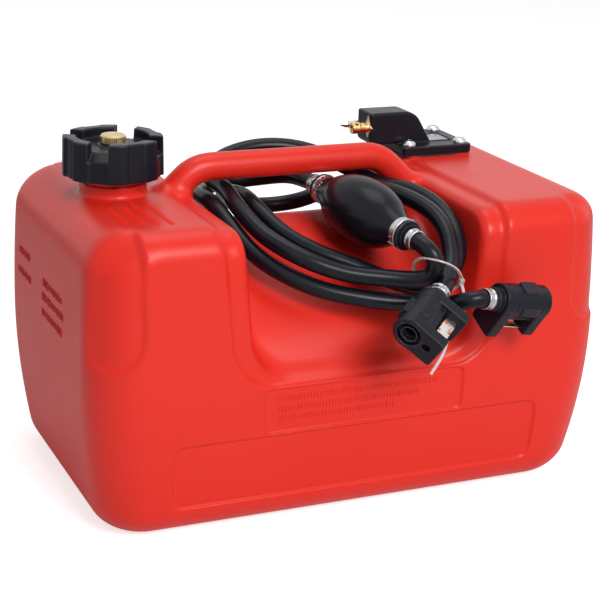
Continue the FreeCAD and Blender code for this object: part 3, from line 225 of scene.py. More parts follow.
TANK_HALF_LENGTH = 200
TANK_HALF_WIDTH = 123
TANK_TOP = 224
RECESS_FLOOR = 117
CAP_X = -149
FLANGE_X, FLANGE_Y = 134, 68
SCREW_SPAN = 46


def rounded_and(a, b, radius):
    """Where both forms are solid, with a round edge; distances in millimetres."""
    outside = np.hypot(np.maximum(a + radius, 0), np.maximum(b + radius, 0))
    return np.minimum(-radius, np.maximum(a, b)) + outside


def rounded_or(a, b, radius):
    """Where either form is solid, with a round inner corner."""
    return -rounded_and(-a, -b, radius)


def step_up(distance, width):
    """1 inside a form and 0 outside, with a soft border of this width."""
    share = np.clip(0.5 - distance / width, 0, 1)
    return share * share * (3 - 2 * share)


def oblong(across, along, half_across, half_along, radius):
    """A rectangle with round corners."""
    a = np.abs(across) - half_across + radius
    b = np.abs(along) - half_along + radius
    return np.hypot(np.maximum(a, 0), np.maximum(b, 0)) + np.minimum(np.maximum(a, b), 0) - radius


def rod(x, y, z, spots, radius):
    """A round bar through a row of spots."""
    least = np.full(x.shape, 1e9)
    for start, end in zip(spots, spots[1:]):
        run = np.subtract(end, start)
        across, deep, tall = x - start[0], y - start[1], z - start[2]
        share = (across * run[0] + deep * run[1] + tall * run[2]) / run.dot(run)
        share = np.clip(share, 0, 1)
        gap = np.sqrt((across - share * run[0]) ** 2 + (deep - share * run[1]) ** 2
                      + (tall - share * run[2]) ** 2)
        least = np.minimum(least, gap)
    return least - radius


def handle_line():
    """The handle's centre line with its two bends, in millimetres."""
    foot, top, bend = 210.3, 238.3, 12
    corners = [Vector(spot) for spot in ((-116, 0, foot), (-87, 0, top), (61, 0, top), (90, 0, foot))]
    spots = [corners[0]]
    for before, here, after in zip(corners, corners[1:], corners[2:]):
        back = here + (before - here).normalized() * bend
        front = here + (after - here).normalized() * bend
        for share in (0, 0.25, 0.5, 0.75, 1):
            spots.append(back.lerp(here, share).lerp(here.lerp(front, share), share))
    return [tuple(spot) for spot in spots + [corners[3]]]


HANDLE = handle_line()


def recess_side(x, z):
    """Distance past the recess's end walls, which lean apart as they rise."""
    return np.abs(x) - (83 + 16 * (z - RECESS_FLOOR) / 187)


def pressed_in(x, y, z):
    """How deep the walls are pressed in at the ledge, the corners and the two panel frames."""
    ledge = rounded_and(recess_side(x, z) - 17, 110 - z, 32)
    corner = rounded_and(165 - np.abs(x), 130 - z + 0.12 * (np.abs(x) - 166), 24)
    front = step_up(100 - np.abs(y), 12)
    depth = 3.6 * step_up(ledge, 4.5) + 2.4 * step_up(corner, 3.6) * front
    frame_low = oblong(x, z - 48.5, 143, 24.5, 8)
    frame_high = oblong(x, z - 91.5, 78, 16.5, 5)
    return depth + front * (2.3 * step_up(frame_low, 1.8) + 2.1 * step_up(frame_high, 1.7))


def hose_recess(x, y, z):
    """The hollow between the shoulders: a ridged bed that slopes, then drops at front and back."""
    ridge = 203
    rise = np.abs(y)
    slope = (rise - 14) * 0.4378 + (z - ridge) * 0.8991
    brow = (rise - 92) * 0.7071 + (z - 165) * 0.7071
    panel = (rise - 109) * 0.9873 + (z - 148) * 0.1591
    bed = rounded_and(rounded_and(rounded_and(z - ridge, slope, 25), brow, 40), panel, 25)
    mouth = rounded_and(recess_side(x, z), RECESS_FLOOR - z, 26)
    return rounded_and(-bed, mouth, 9)


def tank_form(x, y, z):
    """The whole moulding: drawn-in walls, recess, handle, neck stub and screw bosses."""
    widest = 0.55
    share = z / TANK_TOP
    below = 13 * ((widest - share) / widest) ** 2
    draw = np.where(share < widest, below, 4 * ((share - widest) / 0.45) ** 2)
    pressed = pressed_in(x, y, z)
    plan = oblong(x, y, TANK_HALF_LENGTH - draw, TANK_HALF_WIDTH - draw, 36) + pressed
    brim = 20 + 9 * step_up(x + 165, 30)
    shell = rounded_and(rounded_and(plan, z - TANK_TOP + pressed, brim), -z, 24)
    form = rounded_and(shell, -hose_recess(x, y, z), 7)
    near = (np.abs(y) < 40) & (z > 190) & (np.abs(x) < 140)
    grip = np.full(form.shape, 1e3)
    grip[near] = rod(x[near], y[near], z[near], HANDLE, 10.3)
    form = rounded_or(form, grip, 9)
    neck = np.hypot(x - CAP_X, y) - 24
    stub = rounded_and(neck, np.abs(z - 219) - 15, 1.2)
    form = rounded_or(form, stub, 2.5)
    across = np.abs(x - FLANGE_X) - SCREW_SPAN / 2
    along = np.abs(y - FLANGE_Y) - SCREW_SPAN / 2
    boss = rounded_and(np.hypot(across, along) - 7.5, np.abs(z - 215.9) - 8, 1)
    return rounded_or(form, boss, 4)


def grid_line(low, high, step, fine):
    """Places along an axis, a step apart and closer within 3 mm of each fine place."""
    places = [low]
    while places[-1] < high:
        near = any(abs(places[-1] + 0.4 - spot) < 3 for spot in fine)
        places.append(places[-1] + (step / 3 if near else step))
    return np.array(places)


def surface_net(form, low, high, step, fine=((), (), ())):
    """Vertices and quads of a form's surface, in the form's own millimetres."""
    axes = [grid_line(a, b, step, spots) for a, b, spots in zip(low, high, fine)]
    values = form(*np.meshgrid(*axes, indexing="ij"))
    cells = tuple(len(axis) - 1 for axis in axes)
    total = np.zeros(cells + (3,))
    crossings = np.zeros(cells)
    cuts = []
    for axis in range(3):
        near = values[tuple(slice(0, -1) if k == axis else slice(None) for k in range(3))]
        far = values[tuple(slice(1, None) if k == axis else slice(None) for k in range(3))]
        cut = (near < 0) != (far < 0)
        share = np.where(cut, near / np.where(cut, near - far, 1), 0)
        cuts.append((cut, near < 0))
        others = [k for k in range(3) if k != axis]
        for shift in ((0, 0), (0, 1), (1, 0), (1, 1)):
            window = [slice(None)] * 3
            for k, s in zip(others, shift):
                window[k] = slice(s, s + cells[k])
            hit = cut[tuple(window)]
            crossings += hit
            total[..., axis] += np.where(hit, share[tuple(window)], 0)
            for k, s in zip(others, shift):
                total[..., k] += s * hit
    used = crossings > 0
    index = np.full(cells, -1)
    index[used] = np.arange(used.sum())
    spots = total[used] / crossings[used][:, None] + np.argwhere(used)
    room = np.stack([np.diff(axis)[cell] for axis, cell in zip(axes, np.argwhere(used).T)], axis=1)
    spots = [np.interp(spot, np.arange(len(axis)), axis) for axis, spot in zip(axes, spots.T)]
    spots = np.stack(spots, axis=1)
    quads = []
    for axis in range(3):
        cut, inside = cuts[axis]
        first, second = [(1, 2), (2, 0), (0, 1)][axis]
        at = np.argwhere(cut)
        keep = (at[:, first] > 0) & (at[:, second] > 0)
        keep &= (at[:, first] < cells[first]) & (at[:, second] < cells[second])
        at = at[keep]
        corners = []
        for a, b in ((1, 1), (0, 1), (0, 0), (1, 0)):
            cell = at.copy()
            cell[:, first] -= a
            cell[:, second] -= b
            corners.append(index[tuple(cell.T)])
        ring = np.stack(corners, axis=1)
        flip = ~inside[tuple(at.T)]
        ring[flip] = ring[flip][:, ::-1]
        quads.append(ring)
    return settle(form, spots, room), np.concatenate(quads)


def settle(form, spots, room):
    """Moves the vertices on to the surface itself, by at most half a cell."""
    start = spots.copy()
    h = 0.05
    for _ in range(3):
        x, y, z = spots.T
        value = form(x, y, z)
        slope = np.stack([form(x + h, y, z) - form(x - h, y, z), form(x, y + h, z) - form(x, y - h, z),
                          form(x, y, z + h) - form(x, y, z - h)], axis=1) / (2 * h)
        steep = np.maximum((slope ** 2).sum(axis=1), 0.25)
        spots = spots - (value / steep)[:, None] * slope
        spots = start + np.clip(spots - start, -0.5 * room, 0.5 * room)
    return spots


def new_piece(name, data):
    piece = bpy.data.objects.new(name, data)
    scene.collection.objects.link(piece)
    return piece


def show(piece, finish, body, *nodes):
    """Gives a piece its finish and its body, and puts it in place of CAD nodes."""
    piece.data.materials.clear()
    piece.data.materials.append(finish.material)
    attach(piece, body)
    if nodes:
        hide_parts(*nodes)
    return piece


def moulding(name, form, low, high, step, frame_at=None, fine=((), (), ())):
    """A smooth mesh of a form, turned from its own millimetres to its place in metres."""
    spots, quads = surface_net(form, low, high, step, fine)
    spots = spots / 1000
    if frame_at is not None:
        turn = np.array(frame_at)
        spots = spots @ turn[:3, :3].T + turn[:3, 3]
    mesh = bpy.data.meshes.new(name)
    mesh.from_pydata(spots.tolist(), [], quads.tolist())
    mesh.shade_smooth()
    return new_piece(name, mesh)


red = Finish("red_polyethylene", "red_shell", Specular_IOR_Level=0.28)
cloud = red.noise(7, 3)
red.set(Base_Color=red.between((0.76, 0.022, 0.011), (0.84, 0.030, 0.016), cloud),
        Roughness=red.between(0.33, 0.42, red.noise(25, 4)), Coat_Weight=0.06, Coat_Roughness=0.2)
red.bump(red.noise(700, 3) * 0.7 + red.noise(90, 2) * 0.3, 0.00008)
coarse = 1.0
shell = moulding("tank_shell", tank_form, (-206, -129, -5), (206, 129, 254), 2.7 * coarse,
                 fine=((-143, -78, 78, 143), (), (24, 73, 75, 108)))
show(shell, red, "tank", "tank_body", "tank_handle")


# ---------------------------------------------------------------- filler neck
# The neck is moulded with the tank. The rib round it is a right-hand thread with a lead of 6 mm,
# and it is swept along a spiral.

def lathe(name, outline, place=None, rings=72):
    """A turned piece from a closed outline of radius and height in millimetres."""
    count = len(outline)
    spots = []
    for k in range(rings):
        angle = 2 * math.pi * k / rings
        spots += [(r * math.cos(angle) / 1000, r * math.sin(angle) / 1000, h / 1000) for r, h in outline]
    faces = []
    for k in range(rings):
        base, after = k * count, (k + 1) % rings * count
        for i in range(count):
            j = (i + 1) % count
            faces.append((base + i, after + i, after + j, base + j))
    mesh = bpy.data.meshes.new(name)
    mesh.from_pydata(spots, [], faces)
    piece = new_piece(name, mesh)
    return tidy(piece, place)


def tidy(piece, place=None):
    """Merges poles, turns the normals outwards, marks the sharp edges and puts the mesh in place."""
    work = bmesh.new()
    work.from_mesh(piece.data)
    bmesh.ops.remove_doubles(work, verts=work.verts, dist=1e-6)
    bmesh.ops.dissolve_degenerate(work, edges=work.edges, dist=1e-7)
    bmesh.ops.recalc_face_normals(work, faces=work.faces)
    work.to_mesh(piece.data)
    work.free()
    if place is not None:
        piece.data.transform(place)
    piece.data.shade_smooth()
    piece.data.set_sharp_from_angle(angle=math.radians(32))
    return piece


class Growth(Nodes):
    """A geometry node tree with named inputs, which is grown once into a plain mesh."""

    def __init__(self, name, **inputs):
        super().__init__(bpy.data.node_groups.new(name, "GeometryNodeTree"))
        self.name = name
        self.tree.interface.new_socket("Geometry", in_out="INPUT", socket_type="NodeSocketGeometry")
        self.tree.interface.new_socket("Geometry", in_out="OUTPUT", socket_type="NodeSocketGeometry")
        self.settings = {}
        for label, value in inputs.items():
            kind = {int: "Int", float: "Float", tuple: "Vector"}.get(type(value), "Object")
            socket = self.tree.interface.new_socket(label, in_out="INPUT", socket_type="NodeSocket" + kind)
            self.settings[socket.identifier] = value
        self.start = self.tree.nodes.new("NodeGroupInput")

    def given(self, label):
        return Value(self, self.start.outputs[label])

    def ring(self, count, radius, turn=0.0):
        """Points on a circle, and for each the rotation that faces it outwards."""
        points = self.node("GeometryNodeMeshCircle", {}, {"Vertices": count, "Radius": radius})
        angle = self.node("GeometryNodeInputIndex", {}, {}) * (2 * math.pi) / count + turn
        return points, self.node("ShaderNodeCombineXYZ", {}, {"Z": angle})

    def grow(self, geometry, finish, carrier=None):
        """Realizes what the tree makes and returns it as a piece with a mesh of its own."""
        whole = self.node("GeometryNodeRealizeInstances", {}, {"Geometry": geometry})
        painted = self.node("GeometryNodeSetMaterial", {}, {"Geometry": whole, "Material": finish.material})
        self.join(self.tree.nodes.new("NodeGroupOutput").inputs[0], painted)
        carrier = carrier or new_piece("carrier", bpy.data.meshes.new("carrier"))
        modifier = carrier.modifiers.new("growth", "NODES")
        modifier.node_group = self.tree
        for identifier, value in self.settings.items():
            modifier[identifier] = value
        bpy.context.view_layer.update()
        grown = carrier.evaluated_get(bpy.context.evaluated_depsgraph_get())
        mesh = bpy.data.meshes.new_from_object(grown)
        carrier.modifiers.remove(modifier)
        bpy.data.objects.remove(carrier)
        return new_piece(self.name, mesh)


CAP_AT = Matrix.Translation((CAP_X / 1000, 0, 0))
neck = lathe("neck", [(23, 226), (23, 253.2), (22.4, 254), (19.6, 254), (19, 253.4), (19, 226)], CAP_AT)
show(neck, red, "tank", "filler_neck")

spiral = Growth("neck_thread", rise=0.0075, turns=1.25, radius=0.0232, foot=(CAP_X / 1000, 0.0, 0.2415))
line = spiral.node("GeometryNodeCurveSpiral", {}, {
    "Resolution": 64, "Rotations": spiral.given("turns"), "Start Radius": spiral.given("radius"),
    "End Radius": spiral.given("radius"), "Height": spiral.given("rise")})
section = spiral.node("GeometryNodeCurvePrimitiveCircle", {}, {"Resolution": 10, "Radius": 0.0014})
rib = spiral.node("GeometryNodeCurveToMesh", {}, {
    "Curve": line, "Profile Curve": section, "Fill Caps": True})
moved = spiral.node("GeometryNodeTransform", {}, {"Geometry": rib, "Translation": spiral.given("foot")})
show(tidy(spiral.grow(moved, red)), red, "tank")


# ---------------------------------------------------------------- raised marks
# Rows of small plain ticks that the mould leaves on the cap end, the pad beside the neck and the
# framed front panel. Each tick sits on the wall, square to it.

# A darker copy of the red shell for the ticks on the cap end: painted shade, because that end stands in
# shade.
deep_red = Finish("deep_red", "red_shell", Specular_IOR_Level=0.2)
cloud = deep_red.noise(300, 2)
deep_red.set(Base_Color=deep_red.between((0.48, 0.009, 0.009), (0.58, 0.013, 0.013), cloud),
             Roughness=deep_red.between(0.4, 0.55, deep_red.noise(500, 2)))
END_ROWS = (((-0.215, 0.006, 0.160), 16), ((-0.215, 0.008, 0.149), 18), ((-0.215, 0.008, 0.137), 17),
            ((-0.215, 0.074, 0.166), 10), ((-0.215, 0.076, 0.150), 12))
PAD_ROWS = (((-0.1355, -0.028, 0.240), 27), ((-0.146, -0.031, 0.240), 25), ((-0.155, -0.040, 0.240), 19),
            ((-0.1645, -0.042, 0.240), 16))
FRONT_ROWS = (((-0.066, -0.140, 0.100), 52), ((-0.066, -0.140, 0.0925), 46), ((-0.066, -0.140, 0.085), 38))


def ticks(name, finish, tick, towards, pitch, rows):
    """Rows of ticks, each row from its start and count, cast on to the shell in one direction."""
    marks = Growth(name, wall=shell, tick=tick, towards=towards, pitch=pitch, seed=11)
    wall = marks.node("GeometryNodeObjectInfo", {}, {"Object": marks.given("wall")}, "Geometry")
    line = marks.tree.nodes.new("GeometryNodeJoinGeometry")
    for start, count in rows:
        row = marks.node("GeometryNodeMeshLine", {}, {
            "Count": count, "Start Location": start, "Offset": marks.given("pitch")})
        marks.join(line.inputs[0], row)
    cast = marks.node("GeometryNodeRaycast", {}, {
        "Target Geometry": wall, "Ray Direction": marks.given("towards"), "Ray Length": 0.08}, "Hit Position")
    square = marks.node("FunctionNodeAxesToRotation", {"primary_axis": "Z", "secondary_axis": "Y"}, {
        "Primary Axis": Value(marks, cast.socket.node.outputs["Hit Normal"]),
        "Secondary Axis": marks.given("pitch")})
    size = marks.node("FunctionNodeRandomValue", {"data_type": "FLOAT_VECTOR"}, {
        0: (0.6, 0.6, 1.0), 1: (1.0, 1.0, 1.0), "Seed": marks.given("seed")})
    block = marks.node("GeometryNodeMeshCube", {}, {"Size": marks.given("tick")})
    points = marks.node("GeometryNodeSetPosition", {}, {
        "Geometry": Value(marks, line.outputs[0]), "Position": cast})
    placed = marks.node("GeometryNodeInstanceOnPoints", {}, {
        "Points": points, "Instance": block, "Rotation": square, "Scale": size})
    show(marks.grow(placed, finish), finish, "tank")


# The cap end's ticks take the darker copy of the red as painted shade; the pad and front ticks keep the plain
# red.
ticks("end_ticks", deep_red, (0.0058, 0.0017, 0.0010), (1.0, 0.0, 0.0), (0.0, -0.0031, 0.0), END_ROWS)
ticks("pad_ticks", red, (0.0046, 0.0012, 0.0010), (0.0, 0.0, -1.0), (0.0, -0.0024, 0.0), PAD_ROWS)
ticks("front_ticks", red, (0.0042, 0.0012, 0.0010), (0.0, 1.0, 0.0), (0.0024, 0.0, 0.0), FRONT_ROWS)


# ---------------------------------------------------------------- filler cap
# A black nylon screw cap with eight finger lobes. Its crown is cut by four notches, and the vent
# knob stands in the dished middle. Its edges are painted lighter grey: a painted highlight along
# every edge, stronger in worn patches.

black = Finish("black_nylon", "black_moulding", Specular_IOR_Level=0.17)
# Painted highlight on edges: every edge is at least a third lighter, and worn patches from the noise add the
# rest.
scuff_and_sheen = black.rise(black.noise(300, 5), 0.52, 0.75)
black.set(Base_Color=black.between((0.009, 0.009, 0.016), (0.060, 0.062, 0.072),
                                   black.edges() * (scuff_and_sheen * 0.7 + 0.3)),
          Roughness=black.between(0.24, 0.42, black.noise(120, 4)))
black.bump(black.noise(1600, 3), 0.00003)


def turned_by(x, y, middle, period):
    """The angle from the nearest of several equal directions, in radians."""
    angle = np.arctan2(y, x) - math.radians(middle)
    period = math.radians(period)
    return (angle + period / 2) % period - period / 2


def cap_form(x, y, z):
    """The cap round its own axis, at the tank's heights."""
    skirt, dish_floor, dish_radius = 238, 258.5, 25.5
    r = np.hypot(x, y)
    side = r - 34.3 + 0.02 * (z - skirt)
    lobe = rounded_and(np.abs(r * np.sin(turned_by(x, y, -102.4, 45))) - 7.6, side - 1.8, 1.4)
    form = rounded_or(side, lobe, 0.9)
    form = rounded_and(rounded_and(form, z - 266, 1.1), skirt - z, 0.7)
    dish = rounded_and(r - dish_radius - 0.08 * (z - 258), dish_floor - z, 1.6)
    notch = np.abs(r * np.sin(turned_by(x, y, -124.9, 90))) - 7.5
    notch = rounded_and(notch, dish_floor - 0.6 * np.maximum(r - dish_radius, 0) - z, 1.2)
    form = rounded_and(form, -dish, 1.0)
    form = rounded_and(form, -np.maximum(notch, 20 - r), 0.7)
    hub = rounded_and(r - 11.5, z - 260, 0.8)
    form = rounded_or(form, np.maximum(hub, 257 - z), 0.8)
    form = rounded_and(form, -np.maximum(r - 26, z - 256), 0.5)
    return np.maximum(form, 6.05 - r)


cap = moulding("screw_cap", cap_form, (-38, -38, 236), (38, 38, 268), 0.8 * coarse, CAP_AT)
show(cap, black, "cap", "filler_cap")


# ---------------------------------------------------------------- vent knob
# A turned brass screw with a wide head. Handling has made the head dull and pale, and the ridges
# knurled round its rim stay brighter.

brass = Finish("brass", "brass", Metallic=1.0)
tarnish = brass.rise(brass.noise(250, 4), 0.35, 0.7)
brass.set(Base_Color=brass.between((0.62, 0.42, 0.16), (0.80, 0.60, 0.30), tarnish),
          Roughness=brass.between(0.22, 0.40, brass.noise(400, 3)))
brass.bump(brass.noise(900, 2, (1, 1, 6)), 0.00002)
rubbed = Finish("rubbed_brass", "brass", Metallic=0.55)
rubbed.set(Base_Color=rubbed.between((0.60, 0.44, 0.24), (0.74, 0.60, 0.38), rubbed.noise(350, 4)),
           Roughness=rubbed.between(0.42, 0.60, rubbed.noise(600, 3)))
rubbed.bump(rubbed.noise(1500, 3), 0.00003)
KNOB = [(0, 246.5), (2, 246.5), (3, 247.5), (3, 260.5), (8.4, 260.5), (8.9, 261), (8.9, 265.6),
        (8.1, 266.5), (6.9, 266.5), (6.5, 266.2), (0, 266.1)]
show(lathe("vent_knob", KNOB, CAP_AT), rubbed, "vent", "vent_screw")
knurl = Growth("vent_knurl", ridges=40, radius=0.0088, middle=(CAP_X / 1000, 0.0, 0.2632))
points, facing = knurl.ring(knurl.given("ridges"), knurl.given("radius"), math.pi / 4)
ridge = knurl.node("GeometryNodeMeshCube", {}, {"Size": (0.0008, 0.0008, 0.0042)})
ridges = knurl.node("GeometryNodeInstanceOnPoints", {}, {
    "Points": points, "Instance": ridge, "Rotation": facing})
moved = knurl.node("GeometryNodeTransform", {}, {"Geometry": ridges, "Translation": knurl.given("middle")})
show(knurl.grow(moved, brass), brass, "vent")


# ---------------------------------------------------------------- gauge and outlet housing
# One black moulding: a flat flange under four screws, a glazed well for the gauge, and a block
# that holds the outlet. A shallow diamond in the block's face takes the nozzle's plate.

OUTLET_Y, OUTLET_Z = 57, 246.6


def diamond(y, z):
    """The outline of the nozzle's plate, 12 mm wide and 19 mm tall, round its middle."""
    return (np.abs(z) / 9.5 + np.abs(y) / 6 - 1) * 5.07


def housing_form(x, y, z):
    """Flange, block and the well of the gauge, in the tank's own millimetres."""
    face, top = 79.2, 258.5
    flange = rounded_and(oblong(x - FLANGE_X, y - FLANGE_Y, 31, 30, 4), np.abs(z - 229) - 3.5, 1.1)
    slope = (x - 118.7) * 0.855 + (z - top) * 0.519
    section = rounded_and(rounded_and(face - x, z - top, 1.6), slope, 7)
    under = np.minimum(233 - z, np.maximum(106 - x, 226.5 - z))
    section = rounded_and(section, np.maximum(under, (84.4 + 230.5 - x - z) * 0.7071), 0.8)
    block = rounded_and(section, np.abs(y - 63.5) - 12.5, 2.0)
    form = rounded_or(flange, block, 1.8)
    form = rounded_and(form, -np.maximum(diamond(y - OUTLET_Y, z - OUTLET_Z), x - 81.5), 0.4)
    across, along = x - 145, y - FLANGE_Y
    rim = rounded_and(np.abs(oblong(across, along, 10.3, 12.8, 1.4)) - 0.7, z - 233.2, 0.5)
    form = rounded_or(form, np.maximum(rim, 228 - z), 0.4)
    window = np.maximum(oblong(across, along, 9.6, 12.1, 0.5), 230.4 - z)
    well = np.maximum(oblong(across, along, 8, 10.5, 0.4), 227.4 - z)
    return np.maximum(form, -np.minimum(window, well))


housing = moulding("outlet_block", housing_form, (77, 36, 223.5), (168, 101, 261), 0.85 * coarse)
show(housing, black, "tank", "gauge_housing")


# ---------------------------------------------------------------- flange screws
# Four domed stainless screws with a driver socket, each left at its own angle.

steel = Finish("stainless_steel", "stainless", Metallic=1.0)
steel.set(Base_Color=steel.between((0.50, 0.50, 0.51), (0.72, 0.72, 0.73), steel.noise(500, 3)),
          Roughness=steel.between(0.16, 0.32, steel.noise(900, 2)))
steel.bump(steel.noise(1400, 2), 0.00001)
SCREW = [(0, -16), (1.9, -16), (2.5, -15.2), (2.5, 0), (5.4, 0), (5.5, 0.6), (5.3, 1.9), (4.5, 3.2),
         (3.1, 4.1), (1.8, 4.4), (1.5, 4.2), (1.5, 2.6), (0, 2.3)]
screw = lathe("screw", SCREW, rings=36)
domes = Growth("domed_screws", screw=screw, span=SCREW_SPAN / 1000, seed=5,
               middle=(FLANGE_X / 1000, FLANGE_Y / 1000, 0.2325))
corners = domes.node("GeometryNodeMeshGrid", {}, {
    "Size X": domes.given("span"), "Size Y": domes.given("span"), "Vertices X": 2, "Vertices Y": 2})
turn = domes.node("FunctionNodeRandomValue", {}, {2: 0.0, 3: 6.28, "Seed": domes.given("seed")}, 1)
heads = domes.node("GeometryNodeObjectInfo", {}, {
    "Object": domes.given("screw"), "As Instance": True}, "Geometry")
placed = domes.node("GeometryNodeInstanceOnPoints", {}, {
    "Points": corners, "Instance": heads, "Rotation": domes.node("ShaderNodeCombineXYZ", {}, {"Z": turn})})
moved = domes.node("GeometryNodeTransform", {}, {"Geometry": placed, "Translation": domes.given("middle")})
show(domes.grow(moved, steel), steel, "tank", "flange_screws")
bpy.data.objects.remove(screw)


# ---------------------------------------------------------------- outlet nozzle and guide pin
# A brass tube on a diamond plate, drilled from its side near the thick tip. The pointed steel
# pin beside it keeps the tank's connector square.

def set_square(origin, ahead, across=(1, 0, 0)):
    """The place of a piece whose Z points ahead and whose X lies as near as it can to across."""
    z = Vector(ahead).normalized()
    x = (Vector(across) - z * z.dot(Vector(across))).normalized()
    return Matrix.Translation(Vector(origin)) @ Matrix((x, z.cross(x), z)).transposed().to_4x4()


shank_end = (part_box("outlet_nozzle")[1] * 1000).x


def nozzle_form(x, y, z):
    """The nozzle along X: shank, thick tip, plate, bore and the hole in its side."""
    y, z = y - OUTLET_Y, z - OUTLET_Z
    r = np.hypot(y, z)
    shank = rounded_and(r - 3.9, np.maximum(67 - x, x - shank_end), 0.5)
    tip = rounded_and(r - 4.6, np.abs(x - 68.3) - 3.3, 0.7)
    plate = rounded_and(diamond(y, z), np.abs(x - 80.2) - 1.1, 0.3)
    form = rounded_or(np.minimum(shank, tip), plate, 0.8)
    form = rounded_and(form, -np.maximum(r - 2.4, x - shank_end - 1), 0.3)
    side = np.hypot(x - 69, 0.8 * y + 0.6 * z) - 1.3
    return rounded_and(form, -np.maximum(side, 0.6 * y - 0.8 * z), 0.2)


nozzle = moulding("brass_outlet", nozzle_form, (63, 46, 236), (shank_end + 1, 68, 257.5), 0.5 * coarse)
show(nozzle, brass, "tank", "outlet_nozzle")
pin_low, pin_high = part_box("nozzle_guide_pin")
pin_y, pin_z = [(pin_low[k] + pin_high[k]) / 2 for k in (1, 2)]
PIN_AT = set_square((0.0792, pin_y, pin_z), (-1, 0, 0), (0, 1, 0))
PIN = [(0, -5.5), (2.3, -5.5), (2.3, 0), (2.7, 0.3), (2.7, 10.4), (2.4, 10.8), (2.4, 11.4), (2.7, 11.8),
       (2.5, 12.6), (0.7, 17.4), (0, 17.7)]
show(lathe("steel_pin", PIN, PIN_AT, rings=40), steel, "tank", "nozzle_guide_pin")


# ---------------------------------------------------------------- primer bulb
# A hand-sized rubber bulb from a two-part mould, whose parting line runs from end to end. It
# narrows into a plain neck at each end.

rubber = Finish("bulb_rubber", "black_rubber", Specular_IOR_Level=0.17)
BULB_AXIS = Vector((0.195, -0.975, -0.103)).normalized()
BULB_MIDDLE = Vector((0.0225, -0.0575, 0.212))
BULB_AT = set_square(BULB_MIDDLE, BULB_AXIS)
seam_normal = (BULB_AT.to_3x3() @ Vector((0.8, 0.6, 0))).normalized()
height = rubber.node("ShaderNodeVectorMath", {"operation": "DOT_PRODUCT"},
                     {0: rubber.spot, 1: tuple(seam_normal)}, "Value") - seam_normal.dot(BULB_MIDDLE)
seam = 1 - rubber.rise(rubber.maths("ABSOLUTE", height), 0.0001, 0.0005)
rubber.set(Base_Color=rubber.between((0.004, 0.0045, 0.008), (0.010, 0.011, 0.016), rubber.noise(90, 4)),
           Roughness=rubber.between(0.20, 0.32, rubber.noise(60, 3)))
rubber.bump(rubber.noise(1100, 2) * 0.08 + seam, 0.00025)


def bulb_form(x, y, z):
    """An egg-shaped belly and a plain neck, open through the middle."""
    girth = 24.5
    r = np.hypot(x, y)
    belly = (np.sqrt((r / girth) ** 2 + (z / 42) ** 2) - 1) * girth
    neck = rounded_and(r - 10.2, np.abs(z) - 51, 0.6)
    form = rounded_or(belly, neck, 7)
    return np.maximum(form, 7.45 - r)


bulb = moulding("squeeze_bulb", bulb_form, (-27, -27, -53), (27, 27, 53), 1.0 * coarse, BULB_AT)
show(bulb, rubber, "tank", "bulb")


# ---------------------------------------------------------------- collars
# Black nylon ends of the bulb: three turned steps and a barb, with the check valve inside.

OUTLET_AT = set_square(BULB_MIDDLE + BULB_AXIS * 0.051, BULB_AXIS)
INLET_AT = set_square(BULB_MIDDLE - BULB_AXIS * 0.051, -BULB_AXIS)
STEPS = [(2.4, -12), (7.4, -12), (7.4, 0), (10.6, 0), (11, 0.4), (11, 1.8), (10.6, 2.2), (9.2, 2.2), (9, 2.5),
         (9, 4), (8.7, 4.4), (7.2, 4.4), (7, 4.7), (7, 6.2), (6.7, 6.5), (3.9, 6.5), (3.9, 12.1), (3.3, 13.1),
         (2.4, 13.1)]
outlet_collar = show(lathe("outlet_end", STEPS, OUTLET_AT), black, "tank", "outlet_collar")
inlet_collar = show(lathe("inlet_end", STEPS, INLET_AT), black, "tank", "inlet_collar")


# ---------------------------------------------------------------- clamps and ferrules
# Rolled steel bands with turned-out rims. Each is closed by a pair of pinched ears, and the two
# broad ones on the bulb have a row of pressed slots beside them.

band_steel = Finish("band_steel", "clamp_steel", Metallic=1.0)
wear = band_steel.noise(350, 4)
band_steel.set(Base_Color=band_steel.between((0.34, 0.34, 0.35), (0.70, 0.70, 0.71), wear),
               Roughness=band_steel.between(0.20, 0.42, band_steel.noise(700, 3)))
band_steel.bump(band_steel.noise(1200, 3), 0.00003)


def joined(name, pieces):
    """Several pieces as one, with one mesh."""
    work = bmesh.new()
    for piece in pieces:
        work.from_mesh(piece.data)
        bpy.data.objects.remove(piece)
    mesh = bpy.data.meshes.new(name)
    work.to_mesh(mesh)
    work.free()
    return new_piece(name, mesh)


def band(name, bore, wall, length, slots, place):
    """One clamp round its own axis, with its ears at the top and slots if it has them."""
    outer = bore + wall

    def form(x, y, z):
        r = np.hypot(x, y)
        ring = rounded_and(np.maximum(bore - 0.1 - r, r - outer), np.abs(z) - length / 2, 0.3)
        rim = np.hypot(r - outer, np.abs(z) - length / 2 + 0.5) - 0.5
        ear = rounded_and(np.abs(np.abs(x) - 1.1) - 0.5, np.abs(z) - 0.34 * length, 0.4)
        ear = np.maximum(np.maximum(ear, outer - 0.6 - y), y - outer - 0.8)
        whole = rounded_or(rounded_or(ring, rim, 0.4), ear, 0.3)
        if slots:
            across = np.abs(np.abs(r * turned_by(x, y, 90, 360)) - 5.6) - 2.2
            cut = oblong(across + 2.2 - 1.6, z, 0.45, 0.28 * length, 0.3)
            whole = rounded_and(whole, -np.maximum(cut, outer - 0.4 - r), 0.2)
        return whole

    reach = outer + 2
    return moulding(name, form, (-reach, -reach, -length / 2 - 1.5), (reach, reach, length / 2 + 1.5),
                    0.45 * coarse, place)


